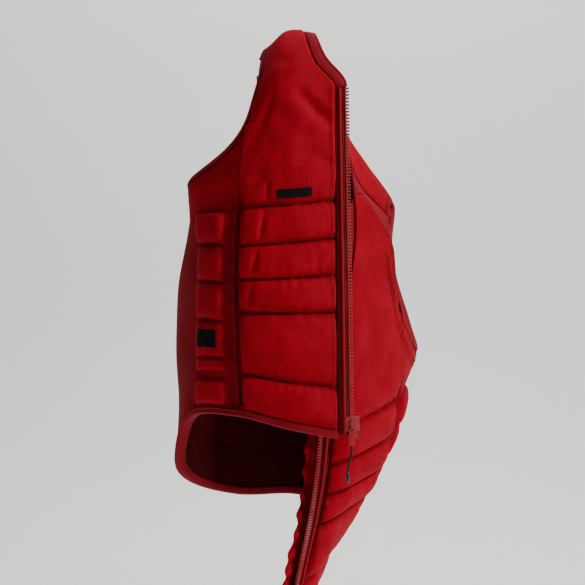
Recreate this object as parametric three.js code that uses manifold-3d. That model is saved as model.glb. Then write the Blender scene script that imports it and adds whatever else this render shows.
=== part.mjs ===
// A front-zip neoprene life jacket, hanging open from its right shoulder.
// Every fabric piece is cut on one flat pattern and then hung: s runs round the body from the
// right zip edge to the left one, h runs up from the hem, t is the depth below the outer face.
import * as THREE from 'three';
import { mergeVertices } from 'three/addons/utils/BufferGeometryUtils.js';
import Module from 'manifold-3d';

// ---- driving dimensions, millimetres
const chestGirth = 980;
const bodyLength = 605;
const skin = 2.5;            // outer neoprene
const foam = 11;             // buoyancy foam slabs
const liner = 2;             // inner jersey
const seamGap = 0.5;         // clearance between touching pieces
const edgeGap = 2.8;         // clearance between a panel's edge and its binding
const linerInset = 2.4;      // the linings stop short of the side seams
const foamEase = 1.1;        // room round a foam slab in its pocket
const channelWidth = 14;     // sewn channel between two foam slabs
const channelDip = 9;        // how far the outer skin dips into a channel
const sideDip = 4;           // the same between the small slabs under the arm
const strapShare = 0.42;     // thickness left over the shoulder, as a share of the body's
const tapeWidth = 15;        // zip tape beside the panel
const tapeThick = 1.2;
const toothPitch = 4.5;
const chainCore = 3;         // moulded bead that carries the teeth
const toothReach = 3.5;
const toothThick = 4;
const bindingWidth = 5;
const bindingRise = 1;       // how far a binding's face lies below the skin's
const collarWidth = 18;
const collarDepth = 12;
const flapWidth = 40;        // wind flap behind the left zip
const flapHold = 20;         // part of it sewn under the panel
const shoulderSeam = 7;      // half of the strip that joins front and back
const labelSize = [50, 12];
const badgeSize = [32, 32];
const trimThick = 1.2;
const cordDiameter = 3;
const cordEndSize = [5, 14];

// ---- the pattern
const neckHalf = 55;
const backNeckHalf = 70;
const backNeckDrop = 25;
const shoulderLength = 95;
const shoulderDrop = 15;
const patternLength = 605;
const patternGirth = 980;
const zipTop = 483;
const chestLine = 322;       // lower edge of the smooth chest
const princess = 145;        // seam between front and side panel
const channels = [63, 168, 219, 270, chestLine];
const sideSlabs = [[12, 48], [68, 84], [91, 147], [154, 210], [218, 268], [276, 316]];
const sideFoam = [[12, 84], [91, 147], [154, 210], [218, 268], [276, 316]];
const sideSlabSpan = [160, 212];
const neckLine = [
  [0, zipTop], [28, 510], [40, 535], [46, 552], [50, 566], [53, 582], [neckHalf, patternLength]];
const armholeFront = [
  [princess, 430], [142, zipTop], [142, 510], [143, 535], [145, 552], [147, 566], [149, 582]];
const armholeUnder = [[160, 400], [186, 378], [212, 369], [236, 366], [262, 368], [284, 380], [303, 402]];
const armholeBack = [[312, 430], [319, 470], [323, 510], [325, 550], [325, 570]];

// ---- how the medium size hangs: one row of points for each level of the pattern
const stations = [0, 70, 150, 215, 310, 410, 490, 570, 670, 765, 830, 910, 950, 980];
const levels = [0, 322, 430, 510, 560, 605];
const drape = [
  [[80, -26, -546], [12, -37, -533], [-65, -23, -516], [-127, 17, -519], [-154, 94, -604],
    [-75, 160, -644], [12, 187, -647], [60, 208, -664], [82, 184, -706], [66, 134, -742],
    [50, 78, -764], [38, 10, -782], [36, -32, -788], [24, -58, -792]],
  [[76, -17, -224], [10, -32, -231], [-66, -23, -235], [-125, 20, -239], [-128, 94, -269],
    [-51, 147, -306], [32, 162, -310], [95, 162, -340], [171, 197, -401], [192, 167, -483],
    [177, 112, -505], [130, 57, -528], [99, 32, -540], [73, 28, -547]],
  [[74, -14, -116], [7, -28, -117], [-50, -10, -115], [-128, 22, -137], [-60, 67, -168],
    [-10, 112, -193], [45, 117, -197], [104, 117, -233], [163, 136, -290], [212, 150, -380],
    [176, 102, -374], [127, 57, -402], [100, 34, -420], [76, 30, -432]],
  [[73, -11, -36], [10, -22, -34], [-35, -12, -52], [-114, 22, -73], [-45, 47, -91],
    [12, 80, -116], [56, 82, -120], [108, 87, -162], [170, 100, -234], [204, 122, -333],
    [169, 87, -326], [119, 48, -309], [98, 34, -334], [80, 30, -350]],
  [[71, 2, 6], [15, 0, 13], [-25, 2, -13], [-93, 24, -45], [-41, 34, -53],
    [21, 54, -69], [62, 57, -76], [101, 66, -138], [162, 86, -234], [191, 102, -307],
    [163, 80, -290], [115, 44, -252], [96, 32, -280], [79, 28, -298]],
  [[72, 32, 6], [18, 24, -7], [-33, 24, -38], [-65, 32, -65], [-41, 31, -41],
    [21, 33, -7], [69, 40, -42], [106, 48, -197], [161, 81, -272], [179, 87, -301],
    [153, 68, -263], [109, 40, -201], [92, 28, -232], [76, 22, -256]],
];
const wide = chestGirth / patternGirth;
const tall = bodyLength / patternLength;
const net = drape.map((row) => row.map(([x, y, z]) => new THREE.Vector3(x * wide, y * wide, z * tall)));

// A smooth curve through values at uneven knots; it runs straight on past both ends.
function smooth(knots, values, at) {
  const last = knots.length - 1;
  const slope = (i) => {
    const before = Math.max(i - 1, 0);
    const after = Math.min(i + 1, last);
    const step = (a, b) => values[b].clone().sub(values[a]).divideScalar(knots[b] - knots[a]);
    if (before === i) return step(i, after);
    if (after === i) return step(before, i);
    const d0 = knots[i] - knots[before];
    const d1 = knots[after] - knots[i];
    return step(before, i).multiplyScalar(d1 / (d0 + d1)).addScaledVector(step(i, after), d0 / (d0 + d1));
  };
  if (at <= knots[0]) return values[0].clone().addScaledVector(slope(0), at - knots[0]);
  if (at >= knots[last]) return values[last].clone().addScaledVector(slope(last), at - knots[last]);
  let i = 0;
  while (at > knots[i + 1]) i += 1;
  const d = knots[i + 1] - knots[i];
  const u = (at - knots[i]) / d;
  const a = values[i].clone().multiplyScalar(2 * u ** 3 - 3 * u ** 2 + 1);
  a.addScaledVector(slope(i), (u ** 3 - 2 * u ** 2 + u) * d);
  a.addScaledVector(values[i + 1], 3 * u ** 2 - 2 * u ** 3);
  return a.addScaledVector(slope(i + 1), (u ** 3 - u ** 2) * d);
}

// Pattern sizes are for the medium; a larger girth or length spreads the net, not the foam.
const face = (s, h) => smooth(levels, net.map((row) => smooth(stations, row, s)), h);

function outward(s, h) {
  const along = face(s + 2, h).sub(face(s - 2, h));
  const up = face(s, h + 2).sub(face(s, h - 2));
  return up.cross(along).normalize();
}

// Full thickness on the body, thinning to the strap over the shoulder.
const bulk = (h) => 1 - (1 - strapShare) * THREE.MathUtils.smoothstep(h, 450, 550);

const hang = (s, h, t) => face(s, h).addScaledVector(outward(s, h), -t * bulk(h));

// Depths below the outer face, from the skin inwards.
const foamTop = skin + foamEase;
const foamBase = foamTop + foam;
const linerTop = foamBase + foamEase;
const linerBase = linerTop + liner;

// ---- solids
const model = new THREE.Group();
const colours = {
  neoprene: [0xc0141c, 0.85], lining: [0x3a0508, 0.95], foam: [0xd9d4c8, 0.9], binding: [0x8e1018, 0.8],
  tape: [0x7c0d16, 0.85], plastic: [0xb02a34, 0.45], label: [0x15130f, 0.6], cord: [0x101010, 0.8],
};

function addMesh(name, geometry, finish) {
  const [color, roughness] = colours[finish];
  const mesh = new THREE.Mesh(geometry, new THREE.MeshStandardMaterial({ color, roughness, metalness: 0 }));
  mesh.name = name;
  model.add(mesh);
  return mesh;
}

// Closes a grid of outer points and a grid of inner points into one solid.
function slab(outer, inner) {
  const rows = outer.length;
  const cols = outer[0].length;
  const points = [...outer.flat(), ...inner.flat()];
  const at = (r, c, side) => side * rows * cols + r * cols + c;
  const index = [];
  const quad = (a, b, c, d) => index.push(a, b, c, a, c, d);
  for (let r = 0; r < rows - 1; r += 1) {
    for (let c = 0; c < cols - 1; c += 1) {
      quad(at(r, c, 0), at(r + 1, c, 0), at(r + 1, c + 1, 0), at(r, c + 1, 0));
      quad(at(r, c, 1), at(r, c + 1, 1), at(r + 1, c + 1, 1), at(r + 1, c, 1));
    }
    quad(at(r, 0, 1), at(r + 1, 0, 1), at(r + 1, 0, 0), at(r, 0, 0));
    quad(at(r, cols - 1, 0), at(r + 1, cols - 1, 0), at(r + 1, cols - 1, 1), at(r, cols - 1, 1));
  }
  for (let c = 0; c < cols - 1; c += 1) {
    quad(at(0, c, 0), at(0, c + 1, 0), at(0, c + 1, 1), at(0, c, 1));
    quad(at(rows - 1, c, 1), at(rows - 1, c + 1, 1), at(rows - 1, c + 1, 0), at(rows - 1, c, 0));
  }
  const geometry = new THREE.BufferGeometry().setFromPoints(points);
  geometry.setIndex(index);
  let volume = 0;
  for (let i = 0; i < index.length; i += 3) {
    const [a, b, c] = [points[index[i]], points[index[i + 1]], points[index[i + 2]]];
    volume += a.dot(b.clone().cross(c)) / 6;
  }
  if (volume < 0) geometry.setIndex(index.map((v, i) => index[i - (i % 3) + [0, 2, 1][i % 3]]));
  return geometry;
}

// One piece of the pattern: rows of [s, h] points, each with its outer and inner depth. The
// left half is the right half's pattern turned over, so its s counts from the other zip edge.
function cut(name, side, rows, depthOut, depthIn, finish) {
  const place = (s, h, t) => hang(side === 'left' ? patternGirth - s : s, h, t);
  const grid = (depth) => rows.map((row) => row.map(([s, h]) => place(s, h, depth(s, h))));
  return addMesh(name, slab(grid(depthOut), grid(depthIn)), finish);
}

const even = (t) => () => t;
const below = (depth, t) => (s, h) => depth(s, h) + t;
const { lerp, clamp } = THREE.MathUtils;
const spread = (a, b, n) => Array.from({ length: n + 1 }, (_, i) => a + ((b - a) * i) / n);

// Where a line of the pattern crosses a height (axis 1) or a girth place (axis 0).
function crossing(line, value, axis) {
  let i = 0;
  while (i < line.length - 2 && value > line[i + 1][axis]) i += 1;
  const share = clamp((value - line[i][axis]) / (line[i + 1][axis] - line[i][axis]), 0, 1);
  return lerp(line[i][1 - axis], line[i + 1][1 - axis], share);
}

// ---- heights at which every panel has a row of points
const channelRows = [seamGap];
channels.forEach((line) => channelRows.push(line - channelWidth / 2, line, line + channelWidth / 2));
const plainRows = [seamGap, 30, ...channels.flatMap((line, i) => (i === 1 ? [115, line] : [line]))];
const chestRows = [368, ...armholeFront.map(([, h]) => h)];
const slabEdges = [0, ...channels].map((low, i) => [
  i === 0 ? 2 * bindingWidth : low + channelWidth / 2 + foamEase,
  (channels[i] ?? 0) - channelWidth / 2 - foamEase,
]).slice(0, channels.length);

function slabRows([low, high], rowAt) {
  const middle = high - low > 60 ? [(low + high) / 2] : [];
  return [low, ...middle, high].map(rowAt);
}

// ---- front panels
const frontShares = [0, 0.14, 0.34, 0.64, 0.93, 1];
const frontTip = neckHalf + shoulderLength;

function frontRow(h) {
  const start = h > zipTop ? crossing(neckLine, h, 1) : 0;
  const end = h > armholeFront[0][1] ? crossing(armholeFront, h, 1) : princess - seamGap;
  return frontShares.map((f) => [lerp(start, end, f), h]);
}

const shoulderRow = frontShares.map((f) => [
  lerp(neckHalf, frontTip, f), patternLength - shoulderSeam - shoulderDrop * f]);

for (const side of ['right', 'left']) {
  const dip = (s, h) => (channels.includes(h) ? channelDip : 0);
  const shellRows = [...[...channelRows, ...chestRows].map(frontRow), shoulderRow];
  cut(`${side}_front_shell`, side, shellRows, dip, below(dip, skin), 'neoprene');
  const liningRows = [...[...plainRows, ...chestRows].map(frontRow), shoulderRow.map((point) => [...point])];
  liningRows.forEach((row) => { row[row.length - 1][0] -= linerInset; });
  cut(`${side}_front_lining`, side, liningRows, even(linerTop), even(linerBase), 'lining');
  const chestFoam = [chestLine + channelWidth / 2 + foamEase, ...chestRows].map(frontRow);
  chestFoam.forEach((row) => {
    row[0][0] += bindingWidth;
    row[row.length - 1][0] -= bindingWidth;
  });
  cut(`${side}_chest_foam`, side, chestFoam, even(foamTop + seamGap), even(foamBase), 'foam');
  const padShares = frontShares.slice(0, -1);
  const padRow = (h) => padShares.map((f) => [Math.max(f * princess, bindingWidth), h]);
  slabEdges.forEach((edges, i) => {
    cut(`${side}_front_pad_${i + 1}`, side, slabRows(edges, padRow), even(foamTop), even(foamBase), 'foam');
  });
}

// ---- side panels, under the arm
const sideColumns = [princess + seamGap, ...armholeUnder.map(([s]) => s)];
sideColumns[sideColumns.length - 1] -= seamGap;
const sideBack = armholeUnder[armholeUnder.length - 1][0];
const underLine = [armholeFront[0], ...armholeUnder];

for (const side of ['right', 'left']) {
  const seams = sideSlabs.map(([low], i) => (i === 0 ? seamGap : (sideSlabs[i - 1][1] + low) / 2));
  const heights = [...sideSlabs.flatMap(([low, high], i) => [seams[i], low, high]), chestLine + 2];
  const rows = heights.map((h) => sideColumns.map((s) => [s, h]));
  rows.push(sideColumns.map((s) => [s, crossing(underLine, s, 0) - 0.01]));
  const inSpan = (s) => s >= sideSlabSpan[0] && s <= sideSlabSpan[1];
  const puffed = (s, h) => inSpan(s) && !seams.includes(h) && h < chestLine;
  const dip = (s, h) => (puffed(s, h) ? 0 : sideDip);
  cut(`${side}_side_shell`, side, rows, dip, below(dip, skin), 'neoprene');
  const liningRows = rows.map((row) => row.map((point) => [...point]));
  liningRows.forEach((row) => {
    row[0][0] += linerInset;
    row[row.length - 1][0] -= linerInset;
  });
  liningRows[liningRows.length - 1].forEach((point) => { point[1] -= 3 * linerInset; });
  cut(`${side}_side_lining`, side, liningRows, even(linerTop), even(linerBase), 'lining');
  const columns = [sideSlabSpan[0] + foamEase, armholeUnder[1][0], sideSlabSpan[1] - foamEase];
  sideFoam.forEach(([low, high], i) => {
    const notch = heights.filter((h) => h > low + foamEase && h < high - foamEase);
    const padRows = [low + foamEase, ...notch, high - foamEase].map((h) => columns.map((s) => [s, h]));
    const top = (s, h) => foamTop + (seams.includes(h) ? sideDip : 0);
    cut(`${side}_side_pad_${i + 1}`, side, padRows, top, even(foamBase), 'foam');
  });
}

// ---- back panel
const halfShares = [0, 0.03, 0.1, 0.18, 0.26, 0.34, 0.42];
const backShares = [...halfShares, 0.5, ...[...halfShares].reverse().map((f) => 1 - f)];
const backTip = patternGirth / 2 - backNeckHalf - shoulderLength;
const armholeRise = [[sideBack, underLine[underLine.length - 1][1]], ...armholeBack];
const backLine = (h) => (h > armholeRise[0][1] ? crossing(armholeRise, h, 1) : sideBack + seamGap);

function backRow(h) {
  return backShares.map((f) => [lerp(backLine(h), patternGirth - backLine(h), f), h]);
}

// The top edge, lowered by a drop: shoulder, scooped neck, shoulder.
function backTopRow(drop) {
  const half = [...frontShares].reverse().map((f) => [
    backTip + shoulderLength * (1 - f), patternLength - shoulderDrop * f]);
  half.push([patternGirth / 2 - backNeckHalf * 0.7, patternLength - backNeckDrop * 0.8]);
  const whole = [...half, [patternGirth / 2, patternLength - backNeckDrop]];
  half.reverse().forEach(([s, h]) => whole.push([patternGirth - s, h]));
  return whole.map(([s, h]) => [s, h - drop]);
}

const backHeights = [370, 402, 430, 470, 510];
const backDrops = [40, 20, shoulderSeam];
const inBlock = (s) => s > armholeRise[1][0] && s < patternGirth - armholeRise[1][0];
const backDip = (s, h) => (channels.includes(h) && inBlock(s) ? channelDip : 0);
const backShellRows = [...[...channelRows, ...backHeights].map(backRow), ...backDrops.map(backTopRow)];
cut('back_shell', 'right', backShellRows, backDip, below(backDip, skin), 'neoprene');
const backLiningRows = [...[...plainRows, ...backHeights].map(backRow), ...backDrops.map(backTopRow)];
backLiningRows.forEach((row) => {
  row[0][0] += linerInset;
  row[row.length - 1][0] -= linerInset;
});
cut('back_lining', 'right', backLiningRows, even(linerTop), even(linerBase), 'lining');
const backSlabRow = (h) => backRow(h).slice(1, -1);
const yoke = [chestLine + channelWidth / 2 + foamEase, ...backHeights].map(backSlabRow);
backDrops.slice(0, -1).forEach((drop) => yoke.push(backTopRow(drop).slice(1, -1)));
cut('back_yoke_foam', 'right', yoke, even(foamTop + 3 * foamEase), even(foamBase - seamGap), 'foam');
slabEdges.forEach((edges, i) => {
  cut(`back_pad_${i + 1}`, 'right', slabRows(edges, backSlabRow), even(foamTop), even(foamBase), 'foam');
});

// ---- strips along an edge: each point steps sideways from the line by near and far
function strip(line, near, far) {
  return line.map(([s, h], i) => {
    const before = line[Math.max(i - 1, 0)];
    const after = line[Math.min(i + 1, line.length - 1)];
    const [ds, dh] = [after[0] - before[0], after[1] - before[1]];
    const size = Math.hypot(ds, dh);
    return [near, far].map((reach) => [s - (dh / size) * reach, h + (ds / size) * reach]);
  });
}

const shoulderFront = [frontTip, patternLength - shoulderDrop - shoulderSeam];
const shoulderBack = [backTip, patternLength - shoulderDrop - shoulderSeam];
const armhole = [
  shoulderFront, ...[...armholeFront].reverse(), ...armholeUnder, ...armholeBack, shoulderBack];
const backCollarLine = backTopRow(shoulderSeam).slice(frontShares.length - 1, 1 - frontShares.length);

for (const side of ['right', 'left']) {
  const armholeStrip = strip(armhole, edgeGap, bindingWidth + edgeGap);
  cut(`${side}_armhole_binding`, side, armholeStrip, even(bindingRise), even(linerBase), 'binding');
  const neckEdge = [...neckLine.slice(0, -1), [neckHalf, patternLength - shoulderSeam]];
  const collarStrip = strip(neckEdge, seamGap, collarWidth);
  cut(`${side}_collar`, side, collarStrip, even(bindingRise), even(collarDepth), 'binding');
}
const backCollar = strip(backCollarLine, 2 * seamGap, collarWidth);
cut('back_collar', 'right', backCollar, even(bindingRise), even(collarDepth), 'binding');

const hemColumns = [...frontShares.map((f) => f * princess), ...sideColumns];
const backHem = backRow(0).map(([s]) => s);
const hemLine = [...hemColumns, ...backHem, ...[...hemColumns].reverse().map((s) => patternGirth - s)];
const hemRows = [-bindingWidth - edgeGap, seamGap - edgeGap].map((h) => hemLine.map((s) => [s, h]));
cut('hem_binding', 'right', hemRows, even(bindingRise), even(linerBase), 'binding');

// ---- shoulder seams: a strip from the front's top edge to the back's
for (const side of ['right', 'left']) {
  const turn = (s) => (side === 'left' ? patternGirth - s : s);
  const rise = (f) => patternLength - shoulderDrop * Math.max(f, 0) - shoulderSeam + seamGap;
  const front = (f, t) => hang(turn(neckHalf + shoulderLength * f), rise(f), t);
  const back = (f, t) => hang(turn(backTip + shoulderLength * (1 - f)), rise(f), t);
  const grid = (t) => [front, back].map((edge) => frontShares.map((f) => edge(f, t)));
  addMesh(`${side}_shoulder_seam`, slab(grid(seamGap), grid(linerBase)), 'binding');
}

// ---- zip: a tape and a moulded chain on each front edge
const tapeEdge = -tapeWidth;
const coreEdge = tapeEdge - seamGap - 0.3;
const tapeRows = [seamGap, 30, 63, 115, 168, 219, 270, chestLine, 368, 430, zipTop - 2];
const chainFoot = { right: 7, left: 24 };  // lowest tooth, above the retainer or the pin
const tapeDepth = 4;
const chainDepth = tapeDepth + tapeThick / 2;

for (const side of ['right', 'left']) {
  const tape = tapeRows.map((h) => [[-seamGap, h], [tapeEdge, h]]);
  cut(`${side}_zip_tape`, side, tape, even(tapeDepth), even(tapeDepth + tapeThick), 'tape');
  const teeth = [];
  const count = Math.floor((zipTop - 2 - chainFoot[side]) / toothPitch);
  for (let i = 0; i <= count * 2; i += 1) {
    const reach = i % 2 ? toothReach : 0;
    const h = chainFoot[side] + (i * toothPitch) / 2;
    teeth.push([[coreEdge, h], [coreEdge - chainCore - reach, h]]);
  }
  const [over, under] = [chainDepth - toothThick / 2, chainDepth + toothThick / 2];
  cut(`${side}_zip_teeth`, side, teeth, even(over), even(under), 'plastic');
}

// ---- wind flap behind the left zip
const flapRows = [];
for (let h = 10; h < zipTop - 10; h += 24) {
  const edge = -flapWidth + 3 * Math.sin(h / 17);
  flapRows.push([[flapHold, h], [bindingWidth, h], [tapeEdge, h], [edge, h]]);
}
const flapTop = linerBase + 2 * seamGap;
cut('wind_flap', 'left', flapRows, even(flapTop), even(flapTop + skin), 'neoprene');

// ---- labels, both blank
const labelRows = (s, h, [width, height]) => [h, h + height].map(
  (y) => [s, s + width / 2, s + width].map((x) => [x, y]));
const trim = [even(-trimThick - seamGap), even(-seamGap)];
cut('chest_label', 'right', labelRows(36, chestLine + channelWidth / 2 + 2, labelSize), ...trim, 'label');
cut('side_badge', 'right', labelRows(169, 103, badgeSize), ...trim, 'label');

// ---- zip hardware, in a frame of its own: x towards the panel, y outwards, z up the zip
const wasm = await Module();
wasm.setup();

function solid(geometry) {
  const plain = geometry.clone();
  plain.deleteAttribute('normal');
  plain.deleteAttribute('uv');
  const merged = mergeVertices(plain);
  return new wasm.Manifold(new wasm.Mesh({
    numProp: 3,
    vertProperties: merged.attributes.position.array,
    triVerts: Uint32Array.from(merged.index.array),
  }));
}

function shape(body) {
  const { numProp, vertProperties, triVerts } = body.getMesh();
  const geometry = new THREE.BufferGeometry();
  geometry.setAttribute('position', new THREE.BufferAttribute(new Float32Array(vertProperties), numProp));
  geometry.setIndex(new THREE.BufferAttribute(new Uint32Array(triVerts), 1));
  return geometry;
}

function block([x0, x1], [y0, y1], [z0, z1]) {
  const box = new THREE.BoxGeometry(x1 - x0, y1 - y0, z1 - z0);
  return solid(box.translate((x0 + x1) / 2, (y0 + y1) / 2, (z0 + z1) / 2));
}

const join = (pieces) => pieces.reduce((whole, piece) => whole.add(piece));

const zipAim = 400;           // the slider's line runs from the foot through here
const sliderHeight = 20;
const sliderPlate = 1.6;
const chainRoom = toothThick / 2 + 0.9;
const plateFace = chainRoom + sliderPlate;
const postPlace = chainCore / 2 + toothReach + 0.9;
const postWidth = 2;
const retainerTop = chainFoot.right - seamGap;
const sliderFoot = retainerTop + seamGap;
const coreMiddle = coreEdge - chainCore / 2;
const zipFoot = hang(coreMiddle, sliderFoot + sliderHeight / 2, chainDepth);
const zipHead = hang(coreMiddle, zipAim, chainDepth);
const zipUp = zipHead.clone().sub(zipFoot).normalize();
const zipOut = outward(coreMiddle, zipTop / 2).projectOnPlane(zipUp).normalize();
const zipFrame = new THREE.Matrix4()
  .makeBasis(new THREE.Vector3().crossVectors(zipOut, zipUp), zipOut, zipUp).setPosition(zipFoot);

function addHardware(name, body, finish) {
  const mesh = addMesh(name, body, finish);
  mesh.applyMatrix4(zipFrame);
}

const half = sliderHeight / 2;
const plateSpan = [-postPlace - postWidth - 4, chainCore / 2 + 6];
const bridge = { halfWidth: 1.2, room: 2.6, bar: 1.4, leg: 1.6, reach: 7 };
const bridgeTop = plateFace + bridge.room;
addHardware('zip_slider', shape(join([
  block(plateSpan, [chainRoom, plateFace], [-half, half]),
  block(plateSpan, [-plateFace, -chainRoom], [-half, half]),
  block([-postPlace - postWidth, -postPlace], [0.2 - plateFace, plateFace - 0.2], [4 - half, half - 2]),
  block([-bridge.halfWidth, bridge.halfWidth], [bridgeTop, bridgeTop + bridge.bar],
    [-bridge.reach, bridge.reach]),
  ...[-1, 1].map((end) => block([-bridge.halfWidth, bridge.halfWidth], [plateFace - 0.2, bridgeTop + 0.2],
    [end * bridge.reach, end * (bridge.reach - bridge.leg)].sort((a, b) => a - b))),
])), 'plastic');

// The tab's cross-bar sits under the bridge, just above its lower leg, and is the pivot.
const tabThick = 1.6;
const tabWidth = 8;
const tabRail = 1.8;
const tabEye = 7;
const tabLength = 27;
const pivot = [plateFace + bridge.room / 2, -bridge.reach + bridge.leg + 1.5];
const tabFace = [pivot[0] - tabThick / 2, pivot[0] + tabThick / 2];
const tabHead = pivot[1] + tabThick / 2;
const tabFoot = tabHead - tabLength;
addHardware('pull_tab', shape(join([
  block([-tabWidth / 2, tabWidth / 2], tabFace, [tabHead - tabThick, tabHead]),
  block([-tabWidth / 2, tabRail - tabWidth / 2], tabFace, [tabHead - tabEye, tabHead]),
  block([tabWidth / 2 - tabRail, tabWidth / 2], tabFace, [tabHead - tabEye, tabHead]),
  block([-tabWidth / 2, tabWidth / 2], tabFace, [tabFoot, tabHead - tabEye + 0.2]),
])), 'plastic');

// The short cord hangs from the tab, and drifts a little towards the panel.
const cordRoute = [[0, 0, 0], [0, 0, -4], [0.4, 0, -8], [1.1, 0.2, -12], [2.1, 0.4, -16], [3.2, 0.6, -20],
  [4.3, 0.7, -24], [5.2, 0.7, -28], [5.9, 0.6, -32], [6.4, 0.5, -36]]
  .map(([x, y, z]) => new THREE.Vector3(x, pivot[0] + y, tabFoot - 0.3 + z));
const cordSection = new THREE.Shape(spread(0, 7, 7).map((i) => new THREE.Vector2(
  Math.cos((i * Math.PI) / 4), Math.sin((i * Math.PI) / 4)).multiplyScalar(cordDiameter / 2)));
const cordCurve = new THREE.CatmullRomCurve3(cordRoute);
const cordTube = new THREE.ExtrudeGeometry(cordSection, {
  steps: 9, extrudePath: cordCurve, bevelEnabled: false });
addHardware('pull_cord', shape(solid(cordTube)), 'cord');
const cordFoot = cordRoute[cordRoute.length - 1];
const moulded = new THREE.CylinderGeometry(cordEndSize[0] / 2, cordEndSize[0] / 2.4, cordEndSize[1], 12)
  .rotateX(Math.PI / 2).translate(cordFoot.x + 0.3, cordFoot.y, cordFoot.z - 0.5 - cordEndSize[1] / 2);
addHardware('cord_end', moulded, 'cord');

// The retainer box closes the right chain; the pin on the left one drops into its socket.
const pinWidth = chainCore;
const boxFoot = -3 - sliderFoot - half;
const boxTop = retainerTop - sliderFoot - half;
const socketNear = postPlace - 0.6;
const socketFar = socketNear + pinWidth + 2 * seamGap;
const boxBody = block([-socketFar - sliderPlate, chainCore / 2], [-chainRoom, chainRoom], [boxFoot, boxTop]);
const pinSocket = block([-socketFar, -socketNear], [-pinWidth / 2 - seamGap, pinWidth / 2 + seamGap],
  [boxFoot + sliderPlate, boxTop + 1]);
addHardware('retainer_box', shape(boxBody.subtract(pinSocket)), 'plastic');
const pinRows = [-2, 11, chainFoot.left - seamGap].map((h) => [[coreEdge, h], [coreEdge - pinWidth, h]]);
const pinDepths = [chainDepth - pinWidth / 2, chainDepth + pinWidth / 2];
cut('insertion_pin', 'left', pinRows, ...pinDepths.map(even), 'plastic');

export default model;
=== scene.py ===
# %% [markdown]
# # A front-zip neoprene life jacket
# The jacket hangs open from its right shoulder strap. Its panels were sewn on a flat pattern, so
# every soft piece here is drawn on that same pattern and then hung in space by one function.

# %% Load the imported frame
import math
import bmesh
import bpy
import numpy as np
from mathutils import Matrix, Vector


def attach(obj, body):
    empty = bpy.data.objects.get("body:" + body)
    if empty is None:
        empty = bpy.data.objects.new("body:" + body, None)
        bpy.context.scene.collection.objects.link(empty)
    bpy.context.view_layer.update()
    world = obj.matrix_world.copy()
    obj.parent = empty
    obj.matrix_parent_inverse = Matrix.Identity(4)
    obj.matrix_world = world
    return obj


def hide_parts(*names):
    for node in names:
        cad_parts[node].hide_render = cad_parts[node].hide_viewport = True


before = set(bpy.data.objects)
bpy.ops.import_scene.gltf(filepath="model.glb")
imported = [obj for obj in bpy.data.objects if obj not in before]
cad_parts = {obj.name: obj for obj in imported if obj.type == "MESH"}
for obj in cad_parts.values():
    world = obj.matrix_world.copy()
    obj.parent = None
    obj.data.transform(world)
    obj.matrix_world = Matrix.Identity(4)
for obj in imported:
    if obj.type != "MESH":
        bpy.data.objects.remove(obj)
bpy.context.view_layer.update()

# %% [markdown]
# ## The pattern and how it hangs
# On the pattern s runs round the body from the right zip edge and h runs up from the hem, both in
# millimetres. A real vest's shape comes from cloth draped in the hand; a simulation of the whole
# vest could end anywhere, so a net of given places fixes the drape and smooth curves join them.

# %% The net of places
GIRTH = 980.0                  # once round the chest
ZIP_TOP = 483.0
PRINCESS = 145.0               # seam between the front and side panels
CHEST = 322.0                  # top channel, under the chest foam
ARM_FOOT, ARM_LOW = 430.0, 402.0   # where the armhole leaves the front, and the back
HEM, CREST, CREST_DROP = 0.5, 598.0, 15.0   # lowest row, and the shoulder's top and slope
CHANNELS = [63.0, 168.0, 219.0, 270.0, CHEST]
SIDE_SLABS = [(12, 48), (68, 84), (91, 147), (154, 210), (218, 268), (276, 316)]
STATIONS = np.array([0, 70, 150, 215, 310, 410, 490, 570, 670, 765, 830, 910, 950, 980], float)
LEVELS = np.array([0, 322, 430, 510, 560, 605], float)
DRAPE = np.array([
    [[80, -26, -546], [12, -37, -533], [-65, -23, -516], [-127, 17, -519], [-154, 94, -604],
     [-75, 160, -644], [12, 187, -647], [60, 208, -664], [82, 184, -706], [66, 134, -742],
     [50, 78, -764], [38, 10, -782], [36, -32, -788], [24, -58, -792]],
    [[76, -17, -224], [10, -32, -231], [-66, -23, -235], [-125, 20, -239], [-128, 94, -269],
     [-51, 147, -306], [32, 162, -310], [95, 162, -340], [171, 197, -401], [192, 167, -483],
     [177, 112, -505], [130, 57, -528], [99, 32, -540], [73, 28, -547]],
    [[74, -14, -116], [7, -28, -117], [-50, -10, -115], [-128, 22, -137], [-60, 67, -168],
     [-10, 112, -193], [45, 117, -197], [104, 117, -233], [163, 136, -290], [212, 150, -380],
     [176, 102, -374], [127, 57, -402], [100, 34, -420], [76, 30, -432]],
    [[73, -11, -36], [10, -22, -34], [-35, -12, -52], [-114, 22, -73], [-45, 47, -91],
     [12, 80, -116], [56, 82, -120], [108, 87, -162], [170, 100, -234], [204, 122, -333],
     [169, 87, -326], [119, 48, -309], [98, 34, -334], [80, 30, -350]],
    [[71, 2, 6], [15, 0, 13], [-25, 2, -13], [-93, 24, -45], [-41, 34, -53],
     [21, 54, -69], [62, 57, -76], [101, 66, -138], [162, 86, -234], [191, 102, -307],
     [163, 80, -290], [115, 44, -252], [96, 32, -280], [79, 28, -298]],
    [[72, 32, 6], [18, 24, -7], [-33, 24, -38], [-65, 32, -65], [-41, 31, -41],
     [21, 33, -7], [69, 40, -42], [106, 48, -197], [161, 81, -272], [179, 87, -301],
     [153, 68, -263], [109, 40, -201], [92, 28, -232], [76, 22, -256]]], float)
print("net of", DRAPE.shape[0], "levels by", DRAPE.shape[1], "stations")

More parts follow.
